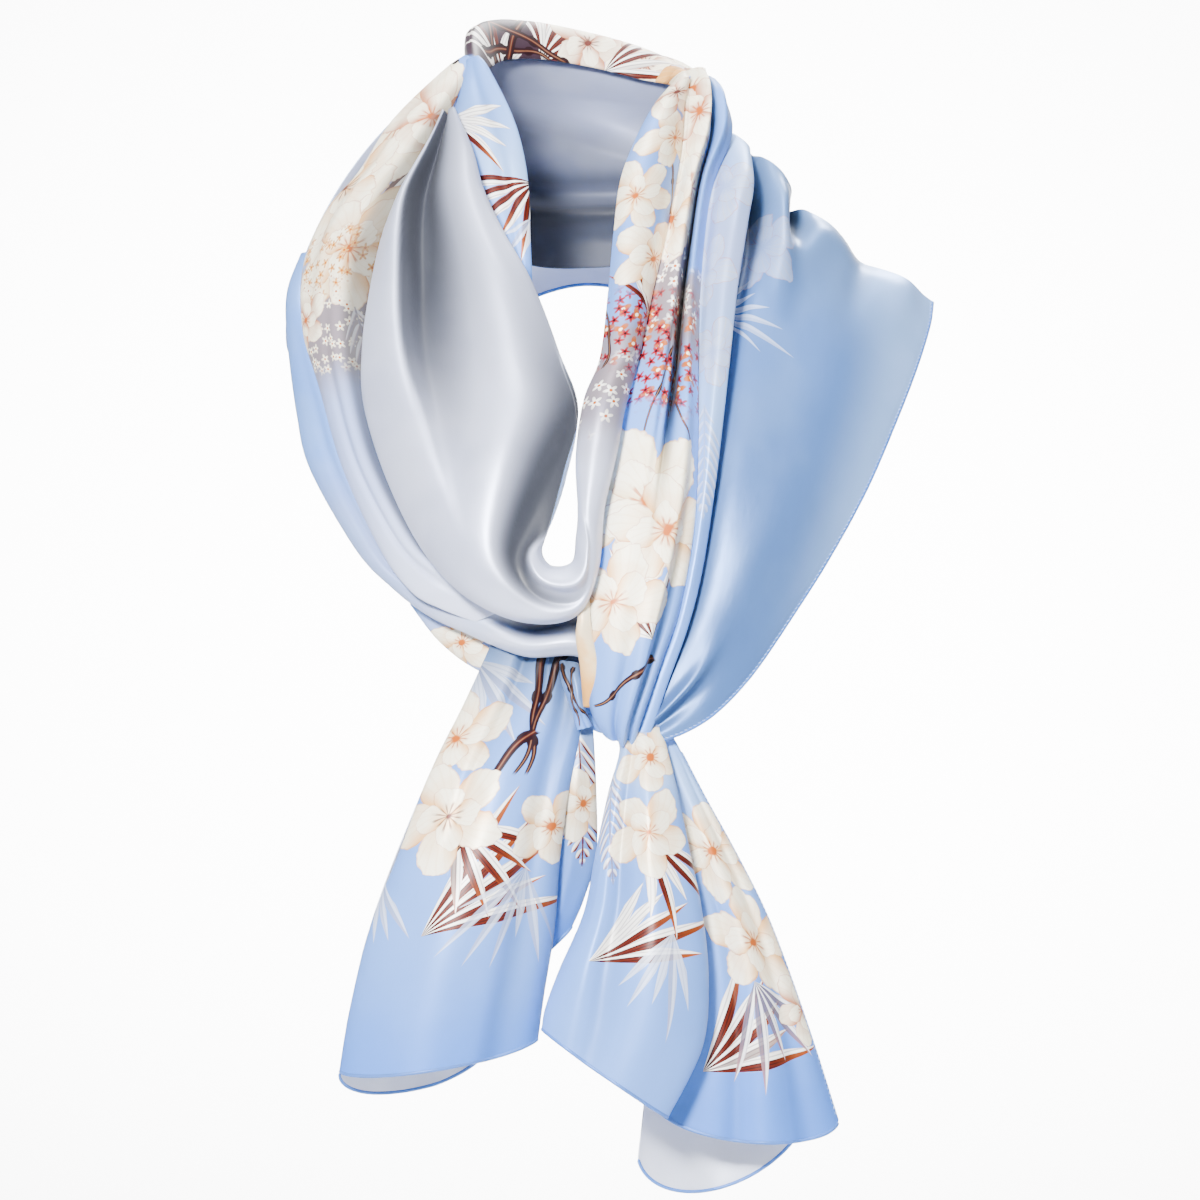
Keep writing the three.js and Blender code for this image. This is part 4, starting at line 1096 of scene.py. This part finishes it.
class Finish(Nodes):
    """A material of one side of the cloth, worked out on the flat cloth in
    centimetres: u across it and v along it."""

    def __init__(self, name, roughness=0.42, metallic=0.25):
        self.material = bpy.data.materials.new(name)
        self.material.use_nodes = True
        super().__init__(self.material.node_tree)
        self.shader = self.tree.nodes["Principled BSDF"]
        self.shader.inputs["Metallic"].default_value = metallic
        self.shader.inputs["Specular IOR Level"].default_value = 0.22
        self.shader.inputs["Sheen Weight"].default_value = 0.05
        self.shader.inputs["Sheen Roughness"].default_value = 0.4
        place = self.node("ShaderNodeUVMap", {"uv_map": "Cloth"}).outputs["UV"]
        parts = self.node("ShaderNodeSeparateXYZ", {}, {0: place}).outputs
        self.u, self.v = Field(self, parts[0]) * 100, Field(self, parts[1]) * 100
        self.roughness = roughness
        self.colour = None
        self.clouds_made = {}

    def noise(self, size, detail=2.0, tall=1.0, shift=0.0):
        """Cloudy noise from 0 to 1, its clouds about size centimetres wide."""
        key = (size, detail, tall, shift)
        if key not in self.clouds_made:
            made = self.node("ShaderNodeTexNoise", {"noise_dimensions": "2D"}, {
                "Vector": self.pair(self.u / size + shift, self.v / (size * tall)),
                "Scale": 1.0, "Detail": detail})
            self.clouds_made[key] = Field(self, made.outputs[0])
        return self.clouds_made[key]

    def ground(self, *stops):
        """Colours one after another along the cloth: (v in cm, colour)."""
        self.colour = self.mix(stops[0][1], stops[0][1], 0.0)
        drift = self.v + (self.noise(3.0) - 0.5) * 2
        for (low, _), (high, colour) in zip(stops, stops[1:]):
            self.colour = self.mix(self.colour, colour, drift.rise(low, high))

    def clouds(self, colour, size, strength):
        self.colour = self.mix(self.colour, colour, self.noise(size).rise(0.42, 0.7) * strength)

    def band(self, low, high, blur=0.8):
        """A region along the cloth, with an uneven edge."""
        v = self.v + (self.noise(1.2, shift=7.0) - 0.5) * 2.4
        return v.rise(low - blur, low + blur) * (1 - v.rise(high - blur, high + blur))

    def figure(self, kind, inputs, strength=1.0):
        """Prints a figure over what is there."""
        made = self.node("ShaderNodeGroup", {"node_tree": FIGURES[kind]},
                         {"u": self.u, "v": self.v, **inputs})
        share = Field(self, made.outputs["share"]) * strength
        self.colour = self.mix(self.colour, made.outputs["colour"], share)

    def blossom(self, at, size, turn=0.0, petals=5, tone=CREAM, deep=PEACH, heart=OCHRE,
                strength=1.0):
        self.figure("blossom", {
            "at u": at[0], "at v": at[1], "turn": turn, "size": size, "petals": petals,
            "wobble": self.noise(0.9), "tone": tone, "deep": deep, "heart": heart}, strength)

    def ghost(self, at, size, turn=0.0, strength=0.6):
        """A blossom seen through the cloth from its other side."""
        self.blossom(at, size, turn, 5, GHOST, LAVENDER, LAVENDER, strength)

    def fan(self, at, reach, turn=0.0, spread=2.4, leaves=9, width=0.4, pale=0.0):
        self.figure("fan", {
            "at u": at[0], "at v": at[1], "turn": turn, "reach": reach, "spread": spread,
            "leaves": leaves, "width": width, "pale": pale})

    def spray(self, at, reach, turn=0.0, width=1.5, pale=0.0):
        self.figure("spray", {
            "at u": at[0], "at v": at[1], "turn": turn, "reach": reach, "width": width,
            "pale": pale})

    def twig(self, at, reach, turn=0.0, width=0.16, sway=0.25):
        self.figure("twig", {
            "at u": at[0], "at v": at[1], "turn": turn, "reach": reach, "width": width,
            "sway": sway})

    def sprinkle(self, size, region, tone=WHITE, heart=OCHRE, drop=0.45, petals=5):
        self.figure("sprinkle", {
            "size": size, "drop": drop, "petals": petals, "tone": tone, "heart": heart}, region)

    def berries(self, size, region):
        self.sprinkle(size, region, tone=OCHRE, heart=CREAM, drop=0.45, petals=3)
        self.sprinkle(size * 0.72, region, tone=RED, heart=PLUM, drop=0.15, petals=5)

    def weave(self, streak=0.05, shaded=True):
        """Satin: fine floats along the cloth in its gloss, and the lightest
        crinkle in its surface. Where it is shaded, shade is painted: the colour is
        multiplied by SHADE to the power of the painted shade, and the metallic share falls to
        nothing."""
        floats = self.noise(0.03, detail=1.0, tall=22.0)
        cloud = self.noise(2.4)
        gloss = self.roughness + (floats - 0.5) * streak + (cloud - 0.5) * 0.08
        self.tree.links.new(gloss.socket, self.shader.inputs["Roughness"])
        crinkle = self.noise(0.9, detail=3.0, tall=2.2, shift=3.0)
        height = crinkle + floats * 0.06
        bump = self.node("ShaderNodeBump", {}, {
            "Strength": 0.14, "Distance": 0.0009, "Height": height})
        self.tree.links.new(bump.outputs[0], self.shader.inputs["Normal"])
        value = floats * 0.06 + cloud * 0.06 + 0.94
        # painted shade: the colour is darkened by the shade attribute, and the metallic share with
        # it
        if shaded:
            shade = self.node("ShaderNodeAttribute", {"attribute_name": "shade"})
            shade = Field(self, shade.outputs["Fac"])
            value = value * self.maths("POWER", SHADE, shade)
            metal = (1 - shade) * self.shader.inputs["Metallic"].default_value
            self.tree.links.new(metal.socket, self.shader.inputs["Metallic"])
        tone = self.node("ShaderNodeHueSaturation", {}, {"Value": value, "Color": self.colour})
        self.tree.links.new(tone.outputs[0], self.shader.inputs["Base Color"])
        return self.material


def satin(name, colour, deep, metallic=0.35, roughness=0.42, shaded=False):
    """Cloth without a print, a little cloudy."""
    f = Finish(name, roughness, metallic)
    f.ground((0, colour))
    f.clouds(deep, 4.0, 0.35)
    return f.weave(shaded=shaded)


def nape_print():
    """The darkest part of the print, leaves and twigs on plum, then blossoms."""
    f = Finish("nape_print", 0.42, 0.06)
    f.ground((0, BLUE), (1, PLUM_GREY), (8, PLUM_GREY), (11, OCHRE), (14, LAVENDER),
             (20, CREAM_GREY))
    f.fan((1.2, 2.2), 6.4, 0.9, 2.0, 6, 0.9)
    f.fan((-3.6, 3.0), 7.0, 0.7, 2.2, 7, 0.7)
    f.fan((-3.2, 8.4), 7.4, 0.8, 2.0, 7, 0.7)
    f.blossom((-1.6, 11.8), 2.9, 0.4, 5, CREAM, OCHRE, RUST)
    for at, turn, wide in (((-3.4, 1.0), 1.0, 0.34), ((-1.0, 2.2), 1.9, 0.3),
                           ((-3.2, 4.4), 0.9, 0.36), ((-0.4, 5.4), 2.1, 0.3)):
        f.twig(at, 7.4, turn, wide)
    f.blossom((1.8, 8.6), 3.0, 1.3, 5, CREAM, OCHRE, RUST)
    f.blossom((-1.8, 15.6), 3.0, 1.9, 5, CREAM, OCHRE, RUST)
    f.fan((-3.0, 13.2), 6.6, 1.1, 1.6, 6, 0.6)
    f.blossom((-1.2, 19.4), 2.8, 0.7, 5, PEACH, RUST, PLUM)
    f.blossom((1.6, 16.4), 2.8, 0.2, 5, CREAM, OCHRE, RUST)
    return f.weave()


def cowl_silver():
    """The reverse, which turns to the printed face where it climbs to the neck."""
    f = Finish("cowl_silver", 0.44, 0.4)
    f.ground((0, SILVER), (38, SILVER), (42, MAUVE), (46.5, MAUVE), (48.5, BLUE))
    f.clouds(SILVER_DEEP, 5.0, 0.3)
    f.sprinkle(0.85, f.band(40.8, 45.4), drop=0.42)
    f.berries(0.95, f.band(44.8, 49.2))
    f.twig((0.9, 44.6), 5.6, 1.4, 0.09, 0.2)
    f.twig((-0.9, 45.4), 4.8, 1.9, 0.08, 0.2)
    f.fan((-1.4, 47.8), 4.6, 1.3, 1.2, 4, 0.6)
    f.blossom((-0.7, 51.2), 2.8, 0.8, 5)
    f.blossom((0.9, 54.8), 2.6, 2.3, 6)
    f.twig((-1.6, 54.0), 4.4, 1.3, 0.16, 0.2)
    f.blossom((-0.6, 58.4), 2.4, 1.2, 5)
    f.blossom((0.2, 61.6), 2.4, 2.6, 5, CREAM, OCHRE, RUST)
    return f.weave()


def fall_print():
    f = Finish("fall_print", 0.42, 0.06)
    f.ground((0, CREAM), (4, CREAM_GREY), (7, BLUE), (13, MAUVE), (17.5, MAUVE), (20, BLUE),
             (38, BLUE))
    f.blossom((-1.4, 2.6), 4.8, 1.0, 5, CREAM, CREAM_GREY)
    f.blossom((-0.8, 9.4), 4.8, 2.0, 5, CREAM, CREAM_GREY)
    f.blossom((-1.0, 4.4), 3.2, 0.3, 5, CREAM, OCHRE)
    f.blossom((-1.9, 10.8), 2.9, 2.6, 5)
    f.sprinkle(0.8, f.band(12.6, 17.0), drop=0.4)
    # the back pleat is the plain side of the print
    f.colour = f.mix(f.colour, BLUE, (f.u + 0.2).rise(0.4, 0.7) * f.band(-4, 14))
    f.twig((0.9, 18.4), 7.6, 1.35, 0.09, 0.16)
    f.twig((-0.4, 18.2), 7.6, 1.7, 0.09, 0.16)
    f.berries(1.0, f.band(15.4, 22.0))
    f.fan((0.9, 34.4), 6.0, -2.1, 1.8, 5, 0.7)
    f.blossom((-0.2, 27.4), 5.0, 1.7, 5, CREAM, CREAM_GREY)
    f.blossom((0.9, 28.8), 3.4, 2.2, 5)
    f.blossom((-1.3, 32.6), 3.4, 0.1, 5)
    f.twig((2.0, 35.2), 4.6, 2.5, 0.22)
    return f.weave()


def pleat_print():
    f = Finish("pleat_print", 0.4, 0.22)
    f.ground((0, BLUE_PALE), (8, LAVENDER), (16, BLUE_PALE), (24, BLUE))
    f.ghost((0.2, 4.4), 2.5, 0.4, 0.9)
    f.ghost((-0.5, 9.4), 2.3, 1.6, 0.9)
    f.ghost((0.5, 14.2), 2.1, 2.8, 0.9)
    f.spray((0.1, 17.0), 6.0, 1.5, 1.0, pale=0.75)
    return f.weave()


def panel_blue():
    f = Finish("panel_blue", 0.35, 0.3)
    f.ground((0, DUSK_PALE), (9, DUSK_BLUE), (32, DUSK_BLUE))
    # painted highlight: the panel's right side, above its belly, is mixed toward pale blue
    f.colour = f.mix(f.colour, BLUE_PALE, f.u.rise(1.6, 6.0) * (1 - f.v.rise(14, 26)))
    f.clouds(DUSK_PALE, 5.0, 0.25)
    f.ghost((-4.0, 4.6), 3.0, 0.7, 0.55)
    f.fan((-5.8, 9.6), 5.0, -0.5, 1.6, 6, 0.4, pale=0.85)
    return f.weave()


def roll_print():
    f = Finish("roll_print", 0.42, 0.06)
    f.ground((0, BLUE), (4, LAVENDER), (11, BLUE_PALE), (15, MAUVE), (18, MAUVE), (21, LAVENDER),
             (36, SILVER))
    f.fan((-2.6, 3.2), 5.2, 0.5, 1.8, 5, 0.7)
    f.fan((2.2, 6.6), 4.4, 1.7, 1.4, 4, 0.6)
    f.twig((-2.4, 5.0), 5.6, 1.1, 0.2)
    f.blossom((-0.6, 4.6), 5.2, 1.2, 5, CREAM, CREAM_GREY)
    f.twig((-0.4, 0.4), 4.2, 1.9, 0.3)
    f.twig((-1.0, 6.6), 4.4, 1.2, 0.26)
    f.blossom((0.4, 11.4), 5.2, 2.2, 5, CREAM, CREAM_GREY)
    f.blossom((0.9, 3.8), 3.2, 0.5, 5, CREAM, OCHRE)
    f.blossom((-1.7, 8.2), 3.6, 1.8, 5, CREAM, PEACH, RUST)
    f.blossom((1.3, 12.4), 3.6, 2.9, 5)
    f.sprinkle(0.6, f.band(11.4, 14.8, 0.6), tone=PEACH, heart=OCHRE, drop=0.3)
    f.sprinkle(0.62, f.band(13.8, 18.8, 0.6), tone=CREAM, drop=0.2)
    f.blossom((-1.8, 15.8), 2.0, 0.9, 5, deep=OCHRE)
    f.spray((1.8, 15.4), 4.6, 1.3, 1.1, pale=0.4)
    return f.weave()


def outer_turn():
    f = Finish("outer_turn", 0.4, 0.28)
    f.ground((0, BLUE), (10, BLUE), (19, LAVENDER), (27, SILVER))
    f.clouds(BLUE_PALE, 4.0, 0.25)
    return f.weave()


def sliver_print():
    f = Finish("sliver_print", 0.42, 0.16)
    f.ground((0, BLUE), (2, LAVENDER))
    f.blossom((0.1, 3.4), 1.9, 0.6, 5)
    f.blossom((-0.1, 7.2), 2.3, 1.9, 5)
    f.spray((0.3, 9.8), 3.6, -1.7, 0.9)
    return f.weave()


def lapel_print():
    f = Finish("lapel_print", 0.4, 0.18)
    f.ground((0, BLUE), (7, BLUE_PALE), (12, BLUE))
    f.fan((-2.0, 3.4), 5.2, 0.6, 1.8, 5, 0.7)
    f.fan((2.0, 7.2), 5.4, 2.5, 1.4, 5, 0.6)
    f.fan((1.4, 9.4), 3.4, 2.0, 1.2, 4, 0.34, pale=0.6)
    return f.weave()


def ear_print():
    f = Finish("ear_print", 0.42, 0.16)
    f.ground((0, CREAM), (3.4, CREAM_GREY), (4.8, PEACH))
    f.clouds(PEACH, 1.2, 0.5)
    return f.weave()


def twist_print():
    f = Finish("twist_print", 0.4, 0.2)
    f.ground((0, BLUE_PALE), (3, BLUE))
    f.twig((-0.4, 0.1), 3.6, 1.35, 0.14, 0.1)
    f.twig((0.3, 0.3), 3.2, 1.8, 0.1, 0.1)
    return f.weave()


def left_tail_print():
    f = Finish("left_tail_print", 0.4, 0.1)
    f.ground((0, BLUE_PALE), (6, BLUE), (16, BLUE), (24, BLUE_DEEP))
    f.fan((-3.4, 1.4), 6.4, 0.9, 1.4, 5, 0.7, pale=0.55)
    f.fan((-1.9, 16.4), 8.6, -0.75, 1.1, 5, 0.95)
    f.fan((-1.4, 10.6), 6.6, 0.75, 1.5, 5, 0.7)
    f.fan((2.9, 12.6), 6.2, 1.75, 1.5, 6, 0.5, pale=0.7)
    f.fan((-5.6, 13.2), 5.4, 1.3, 1.2, 5, 0.5, pale=0.6)
    for at, turn in (((0.6, 0.2), 1.5), ((1.9, 0.3), 1.75), ((1.2, 5.2), 1.95)):
        f.twig(at, 7.6, turn, 0.28, 0.35)
    f.blossom((-2.9, 5.8), 3.0, 2.1, 5)
    f.blossom((-2.0, 10.2), 3.5, 0.5, 5, CREAM, PEACH, RUST)
    f.blossom((3.7, 10.4), 2.4, 1.4, 5)
    return f.weave()


def side_print():
    f = Finish("side_print", 0.4, 0.2)
    f.ground((0, BLUE_PALE), (4, LAVENDER), (6.5, BLUE), (12, BLUE_DEEP))
    f.spray((-0.2, 1.0), 6.8, 1.45, 1.5)
    f.blossom((0.3, 4.6), 2.0, 0.7, 5)
    return f.weave()


def right_tail_print():
    f = Finish("right_tail_print", 0.4, 0.1)
    f.ground((0, LAVENDER), (3, BLUE_PALE), (6, BLUE), (21, BLUE))
    f.fan((-2.4, 13.4), 7.4, -0.55, 1.1, 5, 0.85)
    f.fan((1.9, 11.8), 6.0, 1.75, 1.4, 5, 0.5, pale=0.6)
    f.fan((0.6, 7.0), 6.2, 1.0, 1.4, 5, 0.62)
    f.spray((-2.0, 3.4), 6.0, 1.5, 1.1, pale=0.3)
    f.blossom((0.5, 2.8), 2.2, 0.3, 5)
    f.blossom((0.6, 6.8), 2.6, 1.6, 5)
    return f.weave()


def right_side_print():
    f = Finish("right_side_print", 0.4, 0.1)
    f.ground((0, BLUE), (4, BLUE_PALE), (12, BLUE), (22, BLUE_DEEP))
    f.fan((-2.6, 19.4), 7.6, -0.7, 1.2, 5, 0.9)
    f.fan((0.4, 14.6), 5.6, 1.2, 1.6, 5, 0.6, pale=0.2)
    f.blossom((0.2, 7.8), 3.0, 0.9, 6)
    f.blossom((0.9, 12.6), 3.1, 2.4, 5)
    f.blossom((3.4, 16.0), 2.1, 0.5, 5, deep=OCHRE)
    return f.weave()


def back_print():
    """The side that isn't seen from the front: the same flowers, fewer of them."""
    f = Finish("back_print", 0.4, 0.22)
    f.ground((0, BLUE_PALE), (10, BLUE), (25, BLUE), (33, DUSK_PALE))
    f.clouds(BLUE_PALE, 6.0, 0.3)
    f.fan((-3.6, 15.0), 7.6, 0.6, 1.8, 6, 0.85)
    f.spray((1.0, 24.6), 7.0, 0.3, 1.9, pale=0.3)
    f.twig((-5.0, 8.0), 9.0, 1.1, 0.28, 0.4)
    f.blossom((-3.8, 10.6), 3.2, 0.5, 6)
    f.blossom((0.6, 16.2), 3.4, 1.7, 5)
    f.blossom((-4.2, 21.4), 2.9, 2.6, 5)
    f.ghost((-2.8, 29.4), 2.8, 0.9, 0.55)
    return f.weave()


MAKERS = {
    "nape_print": nape_print, "cowl_silver": cowl_silver, "fall_print": fall_print,
    "pleat_print": pleat_print, "panel_blue": panel_blue, "roll_print": roll_print,
    "outer_turn": outer_turn, "sliver_print": sliver_print, "lapel_print": lapel_print,
    "ear_print": ear_print, "twist_print": twist_print, "left_tail_print": left_tail_print,
    "side_print": side_print, "right_tail_print": right_tail_print,
    "right_side_print": right_side_print, "back_print": back_print,
    "silver_satin": lambda: satin("silver_satin", SILVER, SILVER_DEEP, 0.4, 0.44),
    # painted light: the tails' backs get a paler copy of the silver reverse, so that they read as
    # lit
    "silver_pale": lambda: satin("silver_pale", SILVER_PALE, SILVER, 0.35, 0.44),
    "cowl_inside": lambda: satin("cowl_inside", BLUE_PALE, BLUE),
    # painted shade: the band inside the neck is a darker copy of the silver reverse, with painted
    # shade on it as well
    "band_silver": lambda: satin("band_silver", SILVER_DEEP, SILVER, 0.35, 0.56, True),
    "band_blue": lambda: satin("band_blue", BLUE, BLUE_DEEP),
    "plain_blue": lambda: satin("plain_blue", BLUE, BLUE_DEEP),
    "hem_satin": lambda: satin("hem_satin", HEM_BLUE, BLUE_DEEP, 0.2, 0.4),
    "thread": lambda: satin("thread", THREAD, HEM_BLUE, 0.1, 0.5),
}
FINISHES = {name: make() for name, make in MAKERS.items()}


# --------------------------------------------------------------------- pieces

def hem_piece(node, points):
    """All rolled edges of a stretch and their stitches, as one piece."""
    blocks, finishes, meshes, start = [], [], [], 0
    for side, low, high in HEMS[node]:
        line, along, inward, out = edge_of(points, side, low, high)
        tube = roll(line, inward, out)
        faces = grid_faces(len(line), HEM_SIDES, wrap=True)
        meshes += [(tube.reshape(-1, 3), faces, 0), (*stitches(line, along, inward, out), 1)]
    for corners, faces, finish in meshes:
        blocks.append((corners, faces + start))
        finishes.append(np.full(len(faces), finish))
        start += len(corners)
    corners = np.concatenate([c for c, _ in blocks])
    faces = np.concatenate([f for _, f in blocks])
    flat = corners[:, [0, 2]]
    piece = make_mesh(node + "_hem", corners, faces,
                      [FINISHES["hem_satin"], FINISHES["thread"]], flat, np.concatenate(finishes))
    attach(piece, "root")
    return piece


def hold_piece():
    """The cloth bunched inside the loop: an ellipsoid whose girth is pleated by
    1 + 0.07 sin(11 a) sin(lat), closed at both ends."""
    lat = np.linspace(0, np.pi, 40)[:, None]
    lon = np.linspace(0, TAU, 88, endpoint=False)[None, :]
    girth = np.sin(lat) * (0.93 + 0.07 * np.sin(11 * lon + 2 * np.cos(lat)))
    shape = np.stack(np.broadcast_arrays(
        girth * np.cos(lon), girth * np.sin(lon), np.cos(lat) + 0 * lon), axis=-1)
    points = (shape * np.array(HOLD_RADII) + np.array(HOLD_CENTRE)) * MM
    faces = grid_faces(40, 88, wrap=True)
    piece = make_mesh("loop_hold_cloth", points, faces, [FINISHES["plain_blue"]],
                      points[..., [0, 2]])
    bpy.context.view_layer.objects.active = piece
    mend = piece.modifiers.new("poles", "WELD")
    mend.merge_threshold = 0.01 * MM
    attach(piece, "root")
    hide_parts("loop_hold")


FORMS = {name: cloth(stretch, seed) for seed, (name, stretch) in enumerate(STRETCHES.items())}
FORMS["back_drape"] = over_shoulder(
    FORMS["back_drape"], FORMS["right_pleat"], FORMS["shoulder_panel"])
for name, stretch in STRETCHES.items():
    points = FORMS[name]
    sides = [FINISHES[side] for side in stretch["sides"]]
    piece = make_mesh(name + "_cloth", points, grid_faces(*points.shape[:2]), sides,
                      flat_map(points), shade=shade_of(stretch))
    thicken(piece)
    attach(piece, "root")
    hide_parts(*stretch["replaces"])
    hems = [hem_piece(name, points)] if name in HEMS else []
hold_piece()


# ----------------------------------------------------------- camera and light

def camera():
    """A long lens from far away, so that depth hardly changes what is seen."""
    data = bpy.data.cameras.new("camera")
    distance, view = 24.0, 0.6
    data.sensor_width = 36
    data.lens = data.sensor_width * distance / view
    data.clip_end = 100
    eye = bpy.data.objects.new("camera", data)
    eye.location = (0, -0.1 - distance, -0.205)
    eye.rotation_euler = (math.pi / 2, 0, 0)
    bpy.context.collection.objects.link(eye)
    bpy.context.scene.camera = eye


def area_light(name, place, target, size, power, spread):
    data = bpy.data.lights.new(name, "AREA")
    data.shape = "RECTANGLE"
    data.size, data.size_y = size
    data.energy = power
    data.spread = math.radians(spread)
    lamp = bpy.data.objects.new(name, data)
    lamp.location = place
    toward = Vector(target) - Vector(place)
    lamp.rotation_euler = toward.to_track_quat("-Z", "Y").to_euler()
    bpy.context.collection.objects.link(lamp)


def backdrop():
    """A floor that curves up into a wall behind: flat to the turn, a quarter
    circle, then straight up, carried across the width."""
    floor, turn, radius, half, top, front = -0.62, 1.6, 0.8, 4.0, 4.0, -4.0
    angle = np.linspace(0, np.pi / 2, 24)
    y = np.concatenate([[front], turn + radius * np.sin(angle), [turn + radius]])
    z = np.concatenate([[floor], floor + radius * (1 - np.cos(angle)), [top]])
    x = np.linspace(-half, half, 9)
    points = np.stack(np.broadcast_arrays(x[None, :], y[:, None], z[:, None]), axis=-1)
    paint = bpy.data.materials.new("backdrop_paint")
    paint.use_nodes = True
    shader = paint.node_tree.nodes["Principled BSDF"]
    shader.inputs["Base Color"].default_value = (0.95, 0.95, 0.95, 1)
    shader.inputs["Roughness"].default_value = 0.9
    # seen from its back it isn't there, so that the scarf can be looked at from behind
    tree = paint.node_tree
    side, clear, both = (tree.nodes.new("ShaderNode" + kind) for kind in (
        "NewGeometry", "BsdfTransparent", "MixShader"))
    tree.links.new(side.outputs["Backfacing"], both.inputs[0])
    tree.links.new(shader.outputs[0], both.inputs[1])
    tree.links.new(clear.outputs[0], both.inputs[2])
    tree.links.new(both.outputs[0], tree.nodes["Material Output"].inputs["Surface"])
    make_mesh("backdrop", points, grid_faces(*points.shape[:2])[:, ::-1], [paint])


def studio():
    """The room: dim where it lights the scarf, and white where it is seen."""
    world = bpy.data.worlds.new("studio")
    world.use_nodes = True
    tree = world.node_tree
    dim = tree.nodes["Background"]
    dim.inputs["Color"].default_value = (0.92, 0.94, 1.0, 1)
    dim.inputs["Strength"].default_value = 0.04
    white, way, both = (tree.nodes.new("ShaderNode" + kind) for kind in (
        "Background", "LightPath", "MixShader"))
    white.inputs["Color"].default_value = (1, 1, 1, 1)
    white.inputs["Strength"].default_value = 12
    tree.links.new(way.outputs["Is Camera Ray"], both.inputs[0])
    tree.links.new(dim.outputs[0], both.inputs[1])
    tree.links.new(white.outputs[0], both.inputs[2])
    tree.links.new(both.outputs[0], tree.nodes["World Output"].inputs["Surface"])
    bpy.context.scene.world = world


camera()
area_light("key", (-1.0, -3.6, 1.35), (0, -0.05, -0.2), (0.8, 0.8), 15, 22)
area_light("fill", (1.7, -1.3, 0.4), (0, 0, -0.2), (0.8, 1.2), 0.5, 50)
area_light("low", (0.2, -3.2, -1.0), (0, -0.05, -0.3), (1.0, 0.6), 2.5, 24)
area_light("top", (0.1, -0.5, 2.2), (0, -0.05, -0.1), (0.8, 0.8), 2.2, 40)
area_light("behind", (0.6, 1.5, 1.3), (0, 0.05, -0.15), (0.9, 0.9), 6, 40)
area_light("sky", (0, 0.0, 4.4), (0, 0.0, -0.6), (5.0, 5.0), 110, 110)
area_light("wall", (0, 1.3, 1.5), (0, 2.4, -0.2), (1.2, 0.5), 90, 60)
backdrop()
studio()
